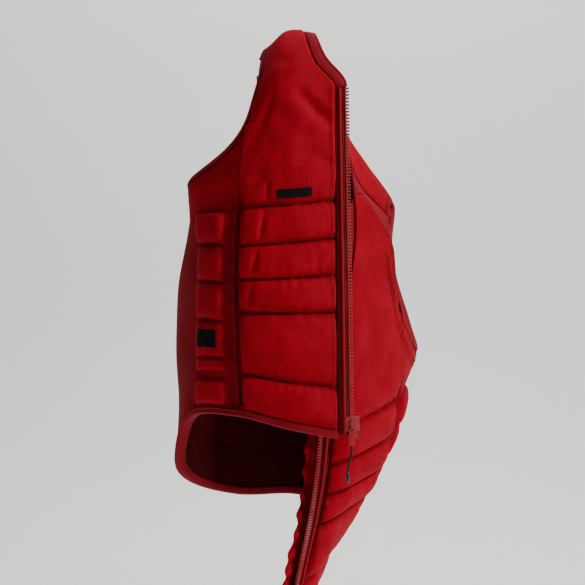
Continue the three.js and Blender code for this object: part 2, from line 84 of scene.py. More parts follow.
# %% Smooth curves through the net
def slopes(knots, values):
    """A slope at each knot that leans towards the nearer neighbour."""
    step = np.diff(values, axis=0) / np.diff(knots).reshape(-1, *[1] * (values.ndim - 1))
    gap = np.diff(knots)
    share = (gap[1:] / (gap[:-1] + gap[1:])).reshape(-1, *[1] * (values.ndim - 1))
    middle = step[:-1] * share + step[1:] * (1 - share)
    return np.concatenate([step[:1], middle, step[-1:]])


def smooth(knots, values, at):
    """Cubic curves through the knots, straight beyond both ends."""
    tangent = slopes(knots, values)
    i = np.clip(np.searchsorted(knots, at, side="right") - 1, 0, len(knots) - 2)
    pick = (lambda table, row: table[row]) if values.ndim == 2 else (
        lambda table, row: table[row, np.arange(len(at))])
    gap = (knots[i + 1] - knots[i])[:, None]
    u = (at - knots[i])[:, None] / gap
    inside = np.clip(u, 0, 1)
    place = (pick(values, i) * (2 * inside**3 - 3 * inside**2 + 1)
             + pick(tangent, i) * (inside**3 - 2 * inside**2 + inside) * gap
             + pick(values, i + 1) * (3 * inside**2 - 2 * inside**3)
             + pick(tangent, i + 1) * (inside**3 - inside**2) * gap)
    beyond = (u - inside) * gap
    return place + np.where(u < 0, pick(tangent, i), pick(tangent, i + 1)) * beyond


def face(s, h):
    """Outer face of the hanging cloth, mm."""
    rows = np.stack([smooth(STATIONS, DRAPE[k], s) for k in range(len(LEVELS))])
    return smooth(LEVELS, rows, h)


def outward(s, h):
    """Unit direction out of the cloth."""
    along = face(s + 2, h) - face(s - 2, h)
    up = face(s, h + 2) - face(s, h - 2)
    normal = np.cross(up, along)
    return normal / np.linalg.norm(normal, axis=1, keepdims=True)


THIN_FROM, THIN_OVER, THINNED = 450, 100, 0.58


def bulk(h):
    """Share of the full thickness: the gripped strap is squeezed thin."""
    x = np.clip((h - THIN_FROM) / THIN_OVER, 0, 1)
    return 1 - THINNED * x * x * (3 - 2 * x)


# %% Hang pattern points in space
def hang(side, s, h, depth):
    """Pattern places and depths below the outer face, in mm, to metres."""
    s, h, depth = (np.asarray(v, float) for v in np.broadcast_arrays(s, h, depth))
    shape = s.shape
    s, h, depth = s.ravel(), h.ravel(), depth.ravel()
    turned = GIRTH - s if side == "left" else s
    place = face(turned, h) - outward(turned, h) * (depth * bulk(h))[:, None]
    return (place * 0.001).reshape(*shape, 3)


probe = hang("right", [0.0, 70.0], [322.0, 322.0], [0.0, 0.0])
print("two places on the chest line, metres:", probe.round(4).tolist())

# %% [markdown]
# ## Relief of the padded panels
# Foam slabs sit in pockets between sewn channels, so the skin swells over each slab and dives at
# each channel. The swell is a rounded crown, steep by the stitches; small gathers fan out from the
# stitch lines because the stretched thread shortens them; broad soft lumps keep it from looking cut.

# %% Crowns, gathers and folds
FOAM_BASE, LINER_TOP, LINER_BASE = 14.6, 15.7, 17.7   # depths below the outer face, mm


def ripple(x, y, seed, waves=5):
    """A smooth random field from a few waves, about -1 to 1."""
    rng = np.random.default_rng(seed)
    total = 0
    for _ in range(waves):
        angle, phase, pace = rng.uniform(0, math.pi), rng.uniform(0, 6.3), rng.uniform(0.7, 1.5)
        total = total + np.sin((x * math.cos(angle) + y * math.sin(angle)) * pace + phase)
    return total / math.sqrt(waves)


def crown(u, power):
    """1 in the middle and 0 at -1 and 1; a higher power gives a flatter top."""
    return np.clip(1 - np.clip(np.abs(u), 0, 1) ** power, 0, 1) ** (1 / power)


def fold(s, h, start, end, width, depth):
    """A long soft dent between two places of the pattern."""
    (s0, h0), (s1, h1) = start, end
    run = np.array([s1 - s0, h1 - h0], float)
    share = np.clip(((s - s0) * run[0] + (h - h0) * run[1]) / run.dot(run), 0, 1)
    away = np.hypot(s - s0 - share * run[0], h - h0 - share * run[1])
    return depth * np.exp(-(away / width) ** 2) * (0.35 + 0.65 * np.sin(math.pi * share))


FIRST_SLAB, TOP_REACH = 4.0, 34


def bands(h):
    """How full the pocket is at height h: 0 on a channel, 1 on a crown."""
    full = np.zeros_like(h)
    for low, high in zip([FIRST_SLAB] + CHANNELS[:-1], CHANNELS):
        inside = (h >= low) & (h <= high)
        full = np.where(inside, crown((h - (low + high) / 2) / ((high - low) / 2), 2.4), full)
    above = np.clip((h - CHEST) / TOP_REACH, 0, 1)
    return np.where(h > CHEST, crown(1 - above, 2.2), full)


# %% Folds of this one jacket
TURN_FOLDS = [  # where the front turns to the side: start, end, half width, depth
    ((100, 352), (101, 329), 4, 3.4), ((104, 313), (109, 276), 4, 3.6), ((112, 264), (118, 225), 4, 3.4),
    ((120, 211), (123, 178), 4, 2.8), ((106, 361), (144, 361), 4, 2.2)]
RIGHT_FOLDS = TURN_FOLDS + [  # dents of the chest
    ((6, 428), (50, 468), 9, 6.0), ((30, 404), (92, 446), 13, 2.6), ((4, 372), (46, 392), 10, 2.2),
    ((96, 470), (128, 402), 9, 2.4), ((60, 508), (112, 520), 9, 2.0), ((104, 364), (136, 344), 8, 2.4)]
LEFT_FOLDS = [  # the left half is turned away and hangs smoother
    ((20, 372), (70, 430), 12, 2.6), ((80, 350), (126, 404), 12, 2.4), ((10, 120), (44, 96), 10, 2.4)]
HEM_GRIP, HEM_DEPTH = 12, 4.5   # the hem tape holds the skin up to this depth


def open_above(across, h, start, reach):
    """Above the slabs the padding is as full at the edges as in the middle."""
    blend = np.clip((h - start) / reach, 0, 1)
    return across * (1 - blend) + blend


def gathered(depth, s, h, across, height, pitch, seed):
    """Puckers on both sides of each channel, shorter than they are wide."""
    for k, line in enumerate(CHANNELS):
        near = np.exp(-np.abs(h - line) / 13)
        depth = depth + near * height * ripple(s / pitch, h / 16, seed + k) * across
    return depth


def pinch(to_edge, deep):
    """The skin dives towards the tape that clamps an edge."""
    return deep * np.exp(-np.clip(to_edge, 0, 99) / 6)


# %% Relief of a front panel
FRONT_HALF, FRONT_LOW, FRONT_SWELL = 69, 12.0, 16.0


def front_relief(side, s, h):
    """Depth of the skin at each pattern place, mm below the outer face."""
    seed = 11 if side == "right" else 23
    across = open_above(crown((s - FRONT_HALF) / FRONT_HALF, 6), h, CHEST, 36)
    depth = FRONT_LOW - FRONT_SWELL * bands(h) * across
    depth = gathered(depth, s, h, across, 0.5, 3.0, seed)
    depth = depth + 0.6 * np.exp(-np.abs(s - 139) / 9) * ripple(s / 14, h / 3.6, seed + 9)
    depth = depth + 0.9 * np.exp(-s / 7) * ripple(s / 14, h / 3.2, seed + 8)
    depth = depth + 1.2 * ripple(s / 25, h / 23, seed + 7) + 0.22 * ripple(s / 6, h / 6, seed + 6)
    for start, end, width, deep in (RIGHT_FOLDS if side == "right" else LEFT_FOLDS):
        depth = depth + fold(s, h, start, end, width, deep)
    to_arm = np.where(h > ARM_FOOT - 5, np.interp(h, ARM_FRONT[:, 1], ARM_FRONT[:, 0]) - s, 99)
    depth = depth + pinch(to_arm, 4.6)
    return np.where(h < HEM_GRIP, np.minimum(depth, HEM_DEPTH), depth)


# %% Relief of a side panel
SIDE_MIDDLE, SIDE_HALF, SIDE_LOW, TALL_SWELL, SHORT_SWELL = 186, 22, 6.0, 10.0, 7.0


def side_relief(side, s, h):
    """A column of small separate pads beside a deep sewn channel."""
    seed = 41 if side == "right" else 57
    rise = np.clip((h - CHEST) / 36, 0, 1)
    channel = 3.0 * np.exp(-((s - 151) / 7) ** 4) * (1 - rise)
    depth = SIDE_LOW - 7.5 * rise + 1.0 * ripple(s / 19, h / 22, seed) + channel
    for k, (low, high) in enumerate(SIDE_SLABS):
        tall = crown((h - (low + high) / 2) / ((high - low) / 2 + 2), 3)
        wide = crown((s - SIDE_MIDDLE) / SIDE_HALF, 3.2)
        depth = depth - (TALL_SWELL if high - low > 30 else SHORT_SWELL) * tall * wide
        edge = np.exp(-np.abs(h - high - 3) / 6) * np.exp(-(((s - SIDE_MIDDLE) / 40) ** 4))
        depth = depth + 0.5 * edge * ripple(s / 4, h / 20, seed + k)
    depth = depth + 1.2 * np.exp(-np.abs(s - 150) / 8) * ripple(s / 15, h / 3.8, seed + 9)
    to_arm = np.interp(s, UNDER_LINE[:, 0], UNDER_LINE[:, 1]) - h
    return depth + 3.0 * np.exp(-((s - 301) / 5) ** 2) + pinch(to_arm, 3.0)


# %% Relief of the back panel
BACK_START, BACK_LOW, BACK_SWELL = 316, 10.5, 13.5


def back_relief(side, s, h):
    """The same slabs across the whole back, with a shallow spine line above them."""
    centre = GIRTH / 2
    across = open_above(crown((s - centre) / (centre - BACK_START), 7), h, 360, 60)
    depth = gathered(BACK_LOW - BACK_SWELL * bands(h) * across, s, h, across, 1.1, 3.6, 70)
    depth = depth + 1.4 * ripple(s / 26, h / 22, 77) + 0.35 * ripple(s / 6, h / 6, 78)
    depth = depth + 1.5 * np.exp(-((s - centre) / 3) ** 2) * np.clip((h - CHEST) / 30, 0, 1)
    edge = np.where(h > ARM_LOW, np.interp(h, BACK_RISE[:, 1], BACK_RISE[:, 0]), 303)
    depth = depth + pinch(np.minimum(s - edge, GIRTH - edge - s), 4.6)
    return np.where(h < HEM_GRIP, np.minimum(depth, HEM_DEPTH), depth)


# %% Edges of the pattern's panels
NECK_LINE = np.array([
    (0, 483), (28, 510), (40, 535), (46, 552), (50, 566), (53, 582), (55, 598)], float)
ARM_FRONT = np.array([
    (145, 430), (142, 483), (142, 510), (143, 535), (145, 552), (147, 566), (149, 582)], float)
ARM_UNDER = np.array([
    (160, 400), (186, 378), (212, 369), (236, 366), (262, 368), (284, 380), (303, 402)], float)
ARM_BACK = np.array([(312, 430), (319, 470), (323, 510), (325, 550), (325, 570)], float)
UNDER_LINE = np.vstack([ARM_FRONT[:1], ARM_UNDER])
BACK_RISE = np.vstack([ARM_UNDER[-1:], ARM_BACK])


# %% Grids of pattern places, one for each panel
def shares(rows, cols):
    return np.linspace(0, 1, rows)[:, None], np.linspace(0, 1, cols)[None, :]


def front_grid(rows, cols):
    """Pattern places of a front panel, as rows from the hem to the shoulder."""
    v, f = shares(rows, cols)
    h = HEM + (CREST - CREST_DROP * f - HEM) * v
    start = np.where(h > ZIP_TOP, np.interp(h, NECK_LINE[:, 1], NECK_LINE[:, 0]), 0)
    end = np.where(h > ARM_FOOT, np.interp(h, ARM_FRONT[:, 1], ARM_FRONT[:, 0]), PRINCESS + 0.8)
    return start + (end - start) * f, h


def side_grid(rows, cols):
    """It reaches a little under the front and back panels, so the seams stay shut."""
    v, _ = shares(rows, cols)
    s = np.linspace(145.2, 304.0, cols)[None, :] * np.ones_like(v)
    crest = np.interp(s[0], UNDER_LINE[:, 0], UNDER_LINE[:, 1])[None, :]
    return s, HEM + (crest - HEM) * v


def back_grid(rows, cols):
    v, f = shares(rows, cols)
    rough = HEM + 590 * v
    start = np.where(rough > ARM_LOW, np.interp(rough, BACK_RISE[:, 1], BACK_RISE[:, 0]), 303.5)
    s = start + (GIRTH - 2 * start) * f
    crest = np.interp(np.abs(s[-1:] - GIRTH / 2), [0, 49, 70, 165], [573, 578, 598, 583])
    return s, HEM + (crest - HEM) * v


print("front panel's grid reaches from", front_grid(2, 2)[1].min(), "to", front_grid(2, 2)[1].max(), "mm")

# %% [markdown]
# ## Closed pieces from pattern grids
# A panel could be a plane with a Solidify modifier, but a sewn panel's two faces differ: one swells
# over the foam, the other stays nearly flat. So both faces are laid out on the pattern and a rim
# joins them. The pattern place of each point becomes its UV, which keeps the knit square to the cut.

# %% Make a mesh object
def put_in_scene(name, data):
    piece = bpy.data.objects.new(name, data)
    bpy.context.scene.collection.objects.link(piece)
    return piece


def shade_smooth(mesh, smooth_faces=True):
    mesh.polygons.foreach_set("use_smooth", [smooth_faces] * len(mesh.polygons))


def finish_mesh(name, points, faces, uv, painted_shade=None):
    """The last argument says how deep each point lies in a channel or fold; the neoprene colour is darkened
    there as painted shade.
    """
    mesh = bpy.data.meshes.new(name)
    mesh.from_pydata([tuple(p) for p in points.tolist()], [], faces)
    mesh.validate()
    layer = mesh.uv_layers.new(name="pattern")
    index = np.empty(len(mesh.loops), int)
    mesh.loops.foreach_get("vertex_index", index)
    layer.data.foreach_set("uv", np.asarray(uv, float)[index].ravel())
    if painted_shade is not None:
        mesh.attributes.new("painted_shade", "FLOAT", "POINT").data.foreach_set("value", np.asarray(painted_shade, float))
    shade_smooth(mesh)
    return put_in_scene(name, mesh)


def volume_of(piece):
    work = bmesh.new()
    work.from_mesh(piece.data)
    volume = work.calc_volume(signed=True)
    work.free()
    return volume


def face_out(piece):
    if volume_of(piece) < 0:
        piece.data.flip_normals()
    return piece


# %% Two faces and a rim
def shell_faces(rows, cols):
    """Faces of two equal grids of points, one after the other, closed by a rim."""
    n = rows * cols
    at = np.arange(n).reshape(rows, cols)
    a, b, c, d = at[:-1, :-1].ravel(), at[:-1, 1:].ravel(), at[1:, 1:].ravel(), at[1:, :-1].ravel()
    faces = np.stack([a, b, c, d], 1).tolist() + (np.stack([d, c, b, a], 1) + n).tolist()
    ring = np.concatenate([at[0, :-1], at[:-1, -1], at[-1, :0:-1], at[:0:-1, 0]])
    after = np.roll(ring, -1)
    return faces + np.stack([after, ring, ring + n, after + n], 1).tolist()


def rim_pull(s, h, rim):
    """How far each face draws in near the edges, so that the rim is round."""
    rows, cols = s.shape
    c = np.minimum(np.arange(cols), np.arange(cols)[::-1])
    r = np.minimum(np.arange(rows), np.arange(rows)[::-1])
    step_s = abs(s[rows // 2, -1] - s[rows // 2, 0]) / (cols - 1)
    step_h = abs(h[-1, cols // 2] - h[0, cols // 2]) / (rows - 1)
    near = np.minimum((c * step_s)[None, :], (r * step_h)[:, None])
    return rim * (1 - np.sqrt(1 - (1 - np.clip(near / rim, 0, 1)) ** 2))


def two_faced(name, side, s, h, outer, inner, rim, painted_shade=None):
    """A closed piece between two depths over a grid of pattern places."""
    pull = np.minimum(rim_pull(s, h, rim), (inner - outer) * 0.45)
    faces = [hang(side, s, h, depth).reshape(-1, 3) for depth in (outer + pull, inner - pull)]
    turned = GIRTH - s if side == "left" else s
    uv = np.stack([turned.ravel(), h.ravel()], 1) * 0.001
    # Only the outer face carries the painted shade value; the inner face gets none.
    tone = None if painted_shade is None else np.concatenate([painted_shade.ravel(), np.zeros(s.size)])
    return face_out(finish_mesh(name, np.vstack(faces), shell_faces(*s.shape), np.vstack([uv, uv]), tone))


# %% [markdown]
# ## Strips, tapes and pipings along an edge
# Bindings, collars, pipings and tapes are one section carried along an edge of the pattern. A curve
# with a bevel profile would twist on these folded edges; a section placed by its reach from the edge
# and its depth in the fabric stays square to the cloth all the way round.

# %% Carry a section along a line of the pattern
def even_line(points, spacing, rounds=2):
    """Rounds the corners of a pattern line and spaces its points evenly."""
    line = np.asarray(points, float)
    for _ in range(rounds):
        a, b = line[:-1], line[1:]
        cut_corners = np.stack([a * 0.75 + b * 0.25, a * 0.25 + b * 0.75], 1).reshape(-1, 2)
        line = np.vstack([line[:1], cut_corners, line[-1:]])
    run = run_along(line)
    count = max(2, int(round(run[-1] / spacing)) + 1)
    at = np.linspace(0, run[-1], count)
    return np.stack([np.interp(at, run, line[:, 0]), np.interp(at, run, line[:, 1])], 1)


def beside(line):
    """The direction to the left of travel at each point of a pattern line."""
    step = np.gradient(line, axis=0)
    step /= np.linalg.norm(step, axis=1, keepdims=True)
    return np.stack([-step[:, 1], step[:, 0]], 1)


def tube_faces(rows, cols):
    """Faces round a row of closed sections, with a cap at each end."""
    at = np.arange(rows * cols).reshape(rows, cols)
    right = np.roll(at, -1, axis=1)
    faces = np.stack([at[:-1].ravel(), right[:-1].ravel(), right[1:].ravel(), at[1:].ravel()], 1).tolist()
    return faces + [at[0, ::-1].tolist(), at[-1].tolist()]


def run_along(line):
    """Length from the start of a line to each of its points."""
    return np.concatenate([[0], np.cumsum(np.linalg.norm(np.diff(line, axis=0), axis=1))])


def sweep(name, side, line, section, lift=0.0):
    """section is a closed loop of (reach, depth); lift adds a depth for each line point."""
    off = beside(line)
    loop = np.asarray(section, float)
    lift = np.broadcast_to(lift, len(line))
    s = line[:, None, 0] + off[:, None, 0] * loop[None, :, 0]
    h = line[:, None, 1] + off[:, None, 1] * loop[None, :, 0]
    points = hang(side, s, h, loop[None, :, 1] + lift[:, None])
    uv = np.stack(np.broadcast_arrays(run_along(loop)[None, :], run_along(line)[:, None]), -1)
    piece = finish_mesh(name, points.reshape(-1, 3), tube_faces(*s.shape), uv.reshape(-1, 2) * 0.001)
    work = bmesh.new()
    work.from_mesh(piece.data)
    bmesh.ops.recalc_face_normals(work, faces=work.faces)
    work.to_mesh(piece.data)
    work.free()
    return face_out(piece)


def rounded(loop, rounds=2):
    """Softens the corners of a section."""
    loop = np.asarray(loop, float)
    for _ in range(rounds):
        nxt = np.roll(loop, -1, axis=0)
        loop = np.stack([loop * 0.75 + nxt * 0.25, loop * 0.25 + nxt * 0.75], 1).reshape(-1, 2)
    return loop


def disc(radius, reach, depth, sides=10):
    """A round section, placed by its reach and depth."""
    turn = np.linspace(0, 2 * math.pi, sides, endpoint=False)
    return np.stack([reach + radius * np.cos(turn), depth + radius * np.sin(turn)], 1)

# %% [markdown]
# ## Finishes
# Neoprene is a foam sheet with a knit jersey bonded on. It is matt, with a soft glow at grazing
# angles, so it takes a rough base, some sheen and a fine knit bump; colour drifts a little with wear
# and is darkened in the channels as painted shade. Woven tape, moulded plastic and rubber each get a tree
# of their own.

# %% A small helper for node trees
def new_finish(name, color, roughness):
    finish = bpy.data.materials.new(name)
    finish.use_nodes = True
    finish.diffuse_color = (*color, 1)
    shader = finish.node_tree.nodes["Principled BSDF"]
    shader.inputs["Base Color"].default_value = (*color, 1)
    shader.inputs["Roughness"].default_value = roughness
    return finish, finish.node_tree, shader


def add(tree, kind, links=(), **values):
    """A new node, its settings, and links into its named or numbered sockets."""
    node = tree.nodes.new(kind)
    for key, value in values.items():
        setattr(node, key, value)
    for socket, source in links:
        tree.links.new(source, node.inputs[socket])
    return node


def mixed_colour(tree, factor, dark, light):
    mix = add(tree, "ShaderNodeMix", data_type="RGBA")
    tree.links.new(factor, mix.inputs["Factor"])
    mix.inputs["A"].default_value = (*dark, 1)
    mix.inputs["B"].default_value = (*light, 1)
    return mix.outputs["Result"]


def stack_bumps(tree, shader, layers):
    """layers: (height socket, strength, distance), coarse first."""
    normal = None
    for height, strength, distance in layers:
        bump = add(tree, "ShaderNodeBump")
        bump.inputs["Strength"].default_value = strength
        bump.inputs["Distance"].default_value = distance
        tree.links.new(height, bump.inputs["Height"])
        if normal is not None:
            tree.links.new(normal, bump.inputs["Normal"])
        normal = bump.outputs["Normal"]
    tree.links.new(normal, shader.inputs["Normal"])


WAVE_TURN = 0.314   # the wave texture has one crest for each 0.314 of scaled length


def knit_heights(tree, pitch, slant=0.0):
    """Columns and courses of a jersey, from the pattern's own UV; pitch in metres."""
    uv = add(tree, "ShaderNodeUVMap", uv_map="pattern")
    turn = add(tree, "ShaderNodeMapping", [("Vector", uv.outputs["UV"])])
    turn.inputs["Rotation"].default_value = (0, 0, slant)
    waves = []
    for direction in ("X", "Y"):
        wave = add(tree, "ShaderNodeTexWave", [("Vector", turn.outputs["Vector"])],
                   bands_direction=direction)
        wave.inputs["Scale"].default_value = WAVE_TURN / pitch
        wave.inputs["Distortion"].default_value = 0.6
        wave.inputs["Detail"].default_value = 0
        waves.append(wave.outputs["Fac"])
    both = add(tree, "ShaderNodeMath", [(0, waves[0]), (1, waves[1])], operation="MULTIPLY")
    return both.outputs[0]


def noise_of(tree, scale, detail, roughness, squeeze=None):
    place = add(tree, "ShaderNodeTexCoord").outputs["Object"]
    if squeeze:
        stretch = add(tree, "ShaderNodeMapping", [("Vector", place)])
        stretch.inputs["Scale"].default_value = squeeze
        place = stretch.outputs["Vector"]
    texture = add(tree, "ShaderNodeTexNoise", [("Vector", place)])
    texture.inputs["Scale"].default_value = scale
    texture.inputs["Detail"].default_value = detail
    texture.inputs["Roughness"].default_value = roughness
    return texture.outputs["Fac"]


# %% Neoprene
def neoprene(name, dark, light, sheen, painted_shade_strength=0.55):
    # The last argument sets how dark the painted shade in the channels and folds gets.
    finish, tree, shader = new_finish(name, light, 0.82)
    shader.inputs["Sheen Weight"].default_value = sheen
    shader.inputs["Sheen Roughness"].default_value = 0.45
    shader.inputs["Sheen Tint"].default_value = (1.0, 0.16, 0.10, 1)
    shader.inputs["Specular IOR Level"].default_value = 0.10
    clouds = noise_of(tree, 26, 4, 0.6)
    fibres = noise_of(tree, 900, 2, 0.6, (1, 1, 0.35))
    both = add(tree, "ShaderNodeMath", [(0, clouds), (1, fibres)], operation="ADD")
    spread = add(tree, "ShaderNodeMapRange", [("Value", both.outputs[0])])
    for socket, value in (("From Min", 0.7), ("From Max", 1.35)):
        spread.inputs[socket].default_value = value
    cloth = mixed_colour(tree, spread.outputs["Result"], dark, light)
    # Painted shade: where a point lies deep in a channel or fold, the colour is mixed towards a darker red.
    shade_value = add(tree, "ShaderNodeAttribute", attribute_name="painted_shade")
    limit = add(tree, "ShaderNodeMapRange", [("Value", shade_value.outputs["Fac"])])
    for socket, value in (("From Min", 0.25), ("From Max", 1.0), ("To Min", 0.0), ("To Max", painted_shade_strength)):
        limit.inputs[socket].default_value = value
    deep = add(tree, "ShaderNodeMix", data_type="RGBA")
    tree.links.new(limit.outputs["Result"], deep.inputs["Factor"])
    tree.links.new(cloth, deep.inputs["A"])
    # The painted shade colour: the dark red at 0.35 of its value.
    deep.inputs["B"].default_value = (*[v * 0.35 for v in dark], 1)
    tree.links.new(deep.outputs["Result"], shader.inputs["Base Color"])
    stack_bumps(tree, shader, [(noise_of(tree, 240, 3, 0.6), 0.35, 0.0006),
                               (knit_heights(tree, 0.0011), 0.5, 0.00018), (fibres, 0.35, 0.00015)])
    return finish


def tape_finish(name, dark, light, pitch, slant, roughness, sheen, deep=0.0002):
    finish, tree, shader = new_finish(name, light, roughness)
    shader.inputs["Specular IOR Level"].default_value = 0.2
    shader.inputs["Sheen Weight"].default_value = sheen
    shader.inputs["Sheen Roughness"].default_value = 0.5
    weave = knit_heights(tree, pitch, slant)
    wear = add(tree, "ShaderNodeMath", [(0, weave), (1, noise_of(tree, 120, 3, 0.6))], operation="MULTIPLY")
    tone = add(tree, "ShaderNodeMapRange", [("Value", wear.outputs[0])])
    tone.inputs["From Max"].default_value = 0.5
    tree.links.new(mixed_colour(tree, tone.outputs["Result"], dark, light), shader.inputs["Base Color"])
    stack_bumps(tree, shader, [(noise_of(tree, 300, 2, 0.5), 0.25, 0.0003), (weave, 0.7, deep)])
    return finish


def moulded(name, dark, light, roughness, grain=700, coat=0.0, shine=0.5):
    finish, tree, shader = new_finish(name, light, roughness)
    shader.inputs["Specular IOR Level"].default_value = shine
    shader.inputs["Coat Weight"].default_value = coat
    shader.inputs["Coat Roughness"].default_value = 0.3
    clouds = noise_of(tree, 60, 4, 0.6)
    tree.links.new(mixed_colour(tree, clouds, dark, light), shader.inputs["Base Color"])
    rough = add(tree, "ShaderNodeMapRange", [("Value", noise_of(tree, 180, 4, 0.6))])
    rough.inputs["To Min"].default_value = roughness - 0.08
    rough.inputs["To Max"].default_value = roughness + 0.12
    tree.links.new(rough.outputs["Result"], shader.inputs["Roughness"])
    stack_bumps(tree, shader, [(noise_of(tree, grain, 2, 0.5), 0.3, 0.00008)])
    return finish


# %% The finishes of this jacket, from dark to light
RED_NEOPRENE = neoprene("red brushed neoprene", (0.26, 0.0012, 0.0085), (0.42, 0.0016, 0.0155), 0.04)
DARK_LINING = neoprene("wine jersey lining", (0.035, 0.0, 0.0016), (0.075, 0.0006, 0.003), 0.04, 0.3)
BINDING = tape_finish("red binding tape", (0.20, 0.0008, 0.0075), (0.36, 0.001, 0.0135),
                      0.0012, 0.0, 0.8, 0.03)
PIPING = tape_finish("bright red piping", (0.26, 0.0, 0.006), (0.44, 0.0, 0.011), 0.0010, 0.6, 0.65, 0.05)
ZIP_TAPE = tape_finish("woven zip tape", (0.09, 0.0, 0.0012), (0.18, 0.001, 0.003),
                       0.0009, 0.785, 0.75, 0.03)
THREAD = tape_finish("red polyester thread", (0.30, 0.0, 0.003), (0.55, 0.008, 0.012),
                     0.0005, 0.5, 0.5, 0.03, 0.00006)
# Painted shade: a dark thread for the cover stitch, so that its zigzag shows the shade in its dips.
DARK_THREAD = tape_finish("cover thread darkened as painted shade", (0.05, 0.0, 0.002), (0.12, 0.001, 0.004),
                          0.0005, 0.5, 0.6, 0.03, 0.00006)
ZIP_PLASTIC = moulded("moulded red zip", (0.26, 0.012, 0.016), (0.42, 0.03, 0.035), 0.36, coat=0.1)
TAB_PLASTIC = moulded("red pull tab", (0.30, 0.001, 0.004), (0.46, 0.004, 0.008), 0.40, coat=0.05)
BLACK_RUBBER = moulded("blank black label", (0.0018, 0.0018, 0.0022), (0.005, 0.005, 0.006),
                       0.7, 500, shine=0.12)
BLACK_CORD = tape_finish("braided black cord", (0.004,) * 3, (0.02,) * 3, 0.0009, 0.785, 0.6, 0.1)
BLACK_PLASTIC = moulded("black cord end", (0.008,) * 3, (0.02,) * 3, 0.3, coat=0.2)
print("finishes:", [material.name for material in bpy.data.materials])


# %% Dress a piece and hide the parts it replaces
def wear_finish(piece, finish, body="jacket", replaces=()):
    piece.data.materials.clear()
    piece.data.materials.append(finish)
    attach(piece, body)
    if replaces:
        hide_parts(*replaces)
    print(f"{piece.name}: {len(piece.data.polygons)} faces, volume {volume_of(piece) * 1e6:.0f} cm3")
    return piece

# %% [markdown]
# ## Padded panels
# Front, side and back panels are each one swollen skin over their slabs. The foam itself is never
# seen, so each panel stands for its skin and its slabs together.

# %% Depths of the inner face, and the depth value that sets the painted shade
QUICK_SHARE = 1.0


def count(points):
    return int(points * QUICK_SHARE)


# Painted shade from depth: none on a crown, full deep in a channel.
def painted_shade_of(depth):
    return np.clip((depth + 1) / 8, 0, 1)


def inner_dips(s, h, deep):
    """The inner face is drawn outwards a little at each channel."""
    dip = 0 * s
    for line in CHANNELS:
        dip = dip - deep * np.exp(-((h - line) / 5) ** 2)
    return dip


def slabs_of(place):
    return [f"{place}_{i}" for i in range(1, 6)]


# %% Front, side and back panels
def panel(name, side, grid, relief, deep, rim, replaces):
    """One swollen skin with its slabs; deep is how far the inner face dips at a channel."""
    s, h = grid
    depth = relief(side, s, h)
    inner = FOAM_BASE - 0.3 + inner_dips(s, h, deep)
    # The skin's depth also sets its painted shade in the channels.
    piece = two_faced(name, side, s, h, depth, inner, rim, painted_shade_of(depth))
    return wear_finish(piece, RED_NEOPRENE, replaces=replaces)


front_places = front_grid(count(300), count(80))
side_places = side_grid(count(210), count(84))
back_places = back_grid(count(260), count(170))
for side in ("right", "left"):
    panel(f"{side}_front_panel", side, front_places, front_relief, 1.6, 2.6,
                        [f"{side}_front_shell", f"{side}_chest_foam", *slabs_of(f"{side}_front_pad")])
    panel(f"{side}_side_panel", side, side_places, side_relief, 0.8, 2.4,
                        [f"{side}_side_shell", *slabs_of(f"{side}_side_pad")])
panel("back_panel", "right", back_places, back_relief, 1.6, 3.5,
                    ["back_shell", "back_yoke_foam", *slabs_of("back_pad")])

# %% Linings
def lining(name, side, s, h, seed, replaces):
    """A thin knit behind the slabs: it has their dips and is a little rumpled."""
    dips, rumple = inner_dips(s, h, 1.6), 0.45 * ripple(s / 16, h / 14, seed)
    piece = two_faced(name, side, s, h, LINER_TOP + dips + rumple, LINER_BASE + dips + rumple, 0.9)
    return wear_finish(piece, DARK_LINING, replaces=replaces)


SIDE_CENTRE, SIDE_SHRINK, BACK_SHRINK = 224, 0.985, 0.988   # these two stop short of their panels' seams
for side in ("right", "left"):
    lining(f"{side}_front_liner", side, *front_grid(count(150), count(40)), 5, [f"{side}_front_lining"])
    s, h = side_grid(count(90), count(40))
    inset = SIDE_CENTRE + (s - SIDE_CENTRE) * SIDE_SHRINK
    lining(f"{side}_side_liner", side, inset, h * SIDE_SHRINK, 6, [f"{side}_side_lining"])
s, h = back_grid(count(150), count(100))
lining("back_liner", "right", GIRTH / 2 + (s - GIRTH / 2) * BACK_SHRINK, h, 7, ["back_lining"])

# %% [markdown]
# ## Bindings, collars and pipings
# The armholes and the hem are closed by tape folded round the edge; the neck has a padded collar
# strip that ends in a piping, and a second piping lies between front panel and zip.

# %% Armhole and hem bindings
ARM_LINE = even_line([(150, 583), *ARM_FRONT[::-1].tolist(), *ARM_UNDER.tolist(), *ARM_BACK.tolist(),
                      (325, 583)], 3.0)
FOLDED_TAPE = rounded([
    (-1.5, -1.0), (3, -0.6), (5.4, 2.4), (5.8, 9), (5.4, 15), (3, 18.8), (-1.5, 19.2), (-1.5, 18.2),
    (1.9, 17.6), (1.9, 1.0), (-1.5, 0.2)], 1)
HEM_TAPE = rounded([
    (-4, 2.9), (-3.2, 2.0), (-2, 2.9), (2.4, 2.9), (3.4, 2.0), (5.4, 2.6), (6.9, 4.8), (7.3, 9.5),
    (6.8, 15.3), (4, 18.4), (-5, 18.9), (-5, 18.1), (1.2, 18.0), (1.2, 4.3), (-4, 4.2)], 1)
for side in ("right", "left"):
    flutter = 0.35 * ripple(ARM_LINE[:, 0] / 9, ARM_LINE[:, 1] / 9, 31)
    binding = sweep(f"{side}_arm_tape", side, ARM_LINE, FOLDED_TAPE, flutter)
    wear_finish(binding, BINDING, replaces=[f"{side}_armhole_binding"])
hem_line = np.stack([np.linspace(979.5, 0.5, 330), np.zeros(330)], 1)
hem = sweep("hem_tape", "right", hem_line, HEM_TAPE, 0.5 * ripple(hem_line[:, 0] / 13, 0, 32))
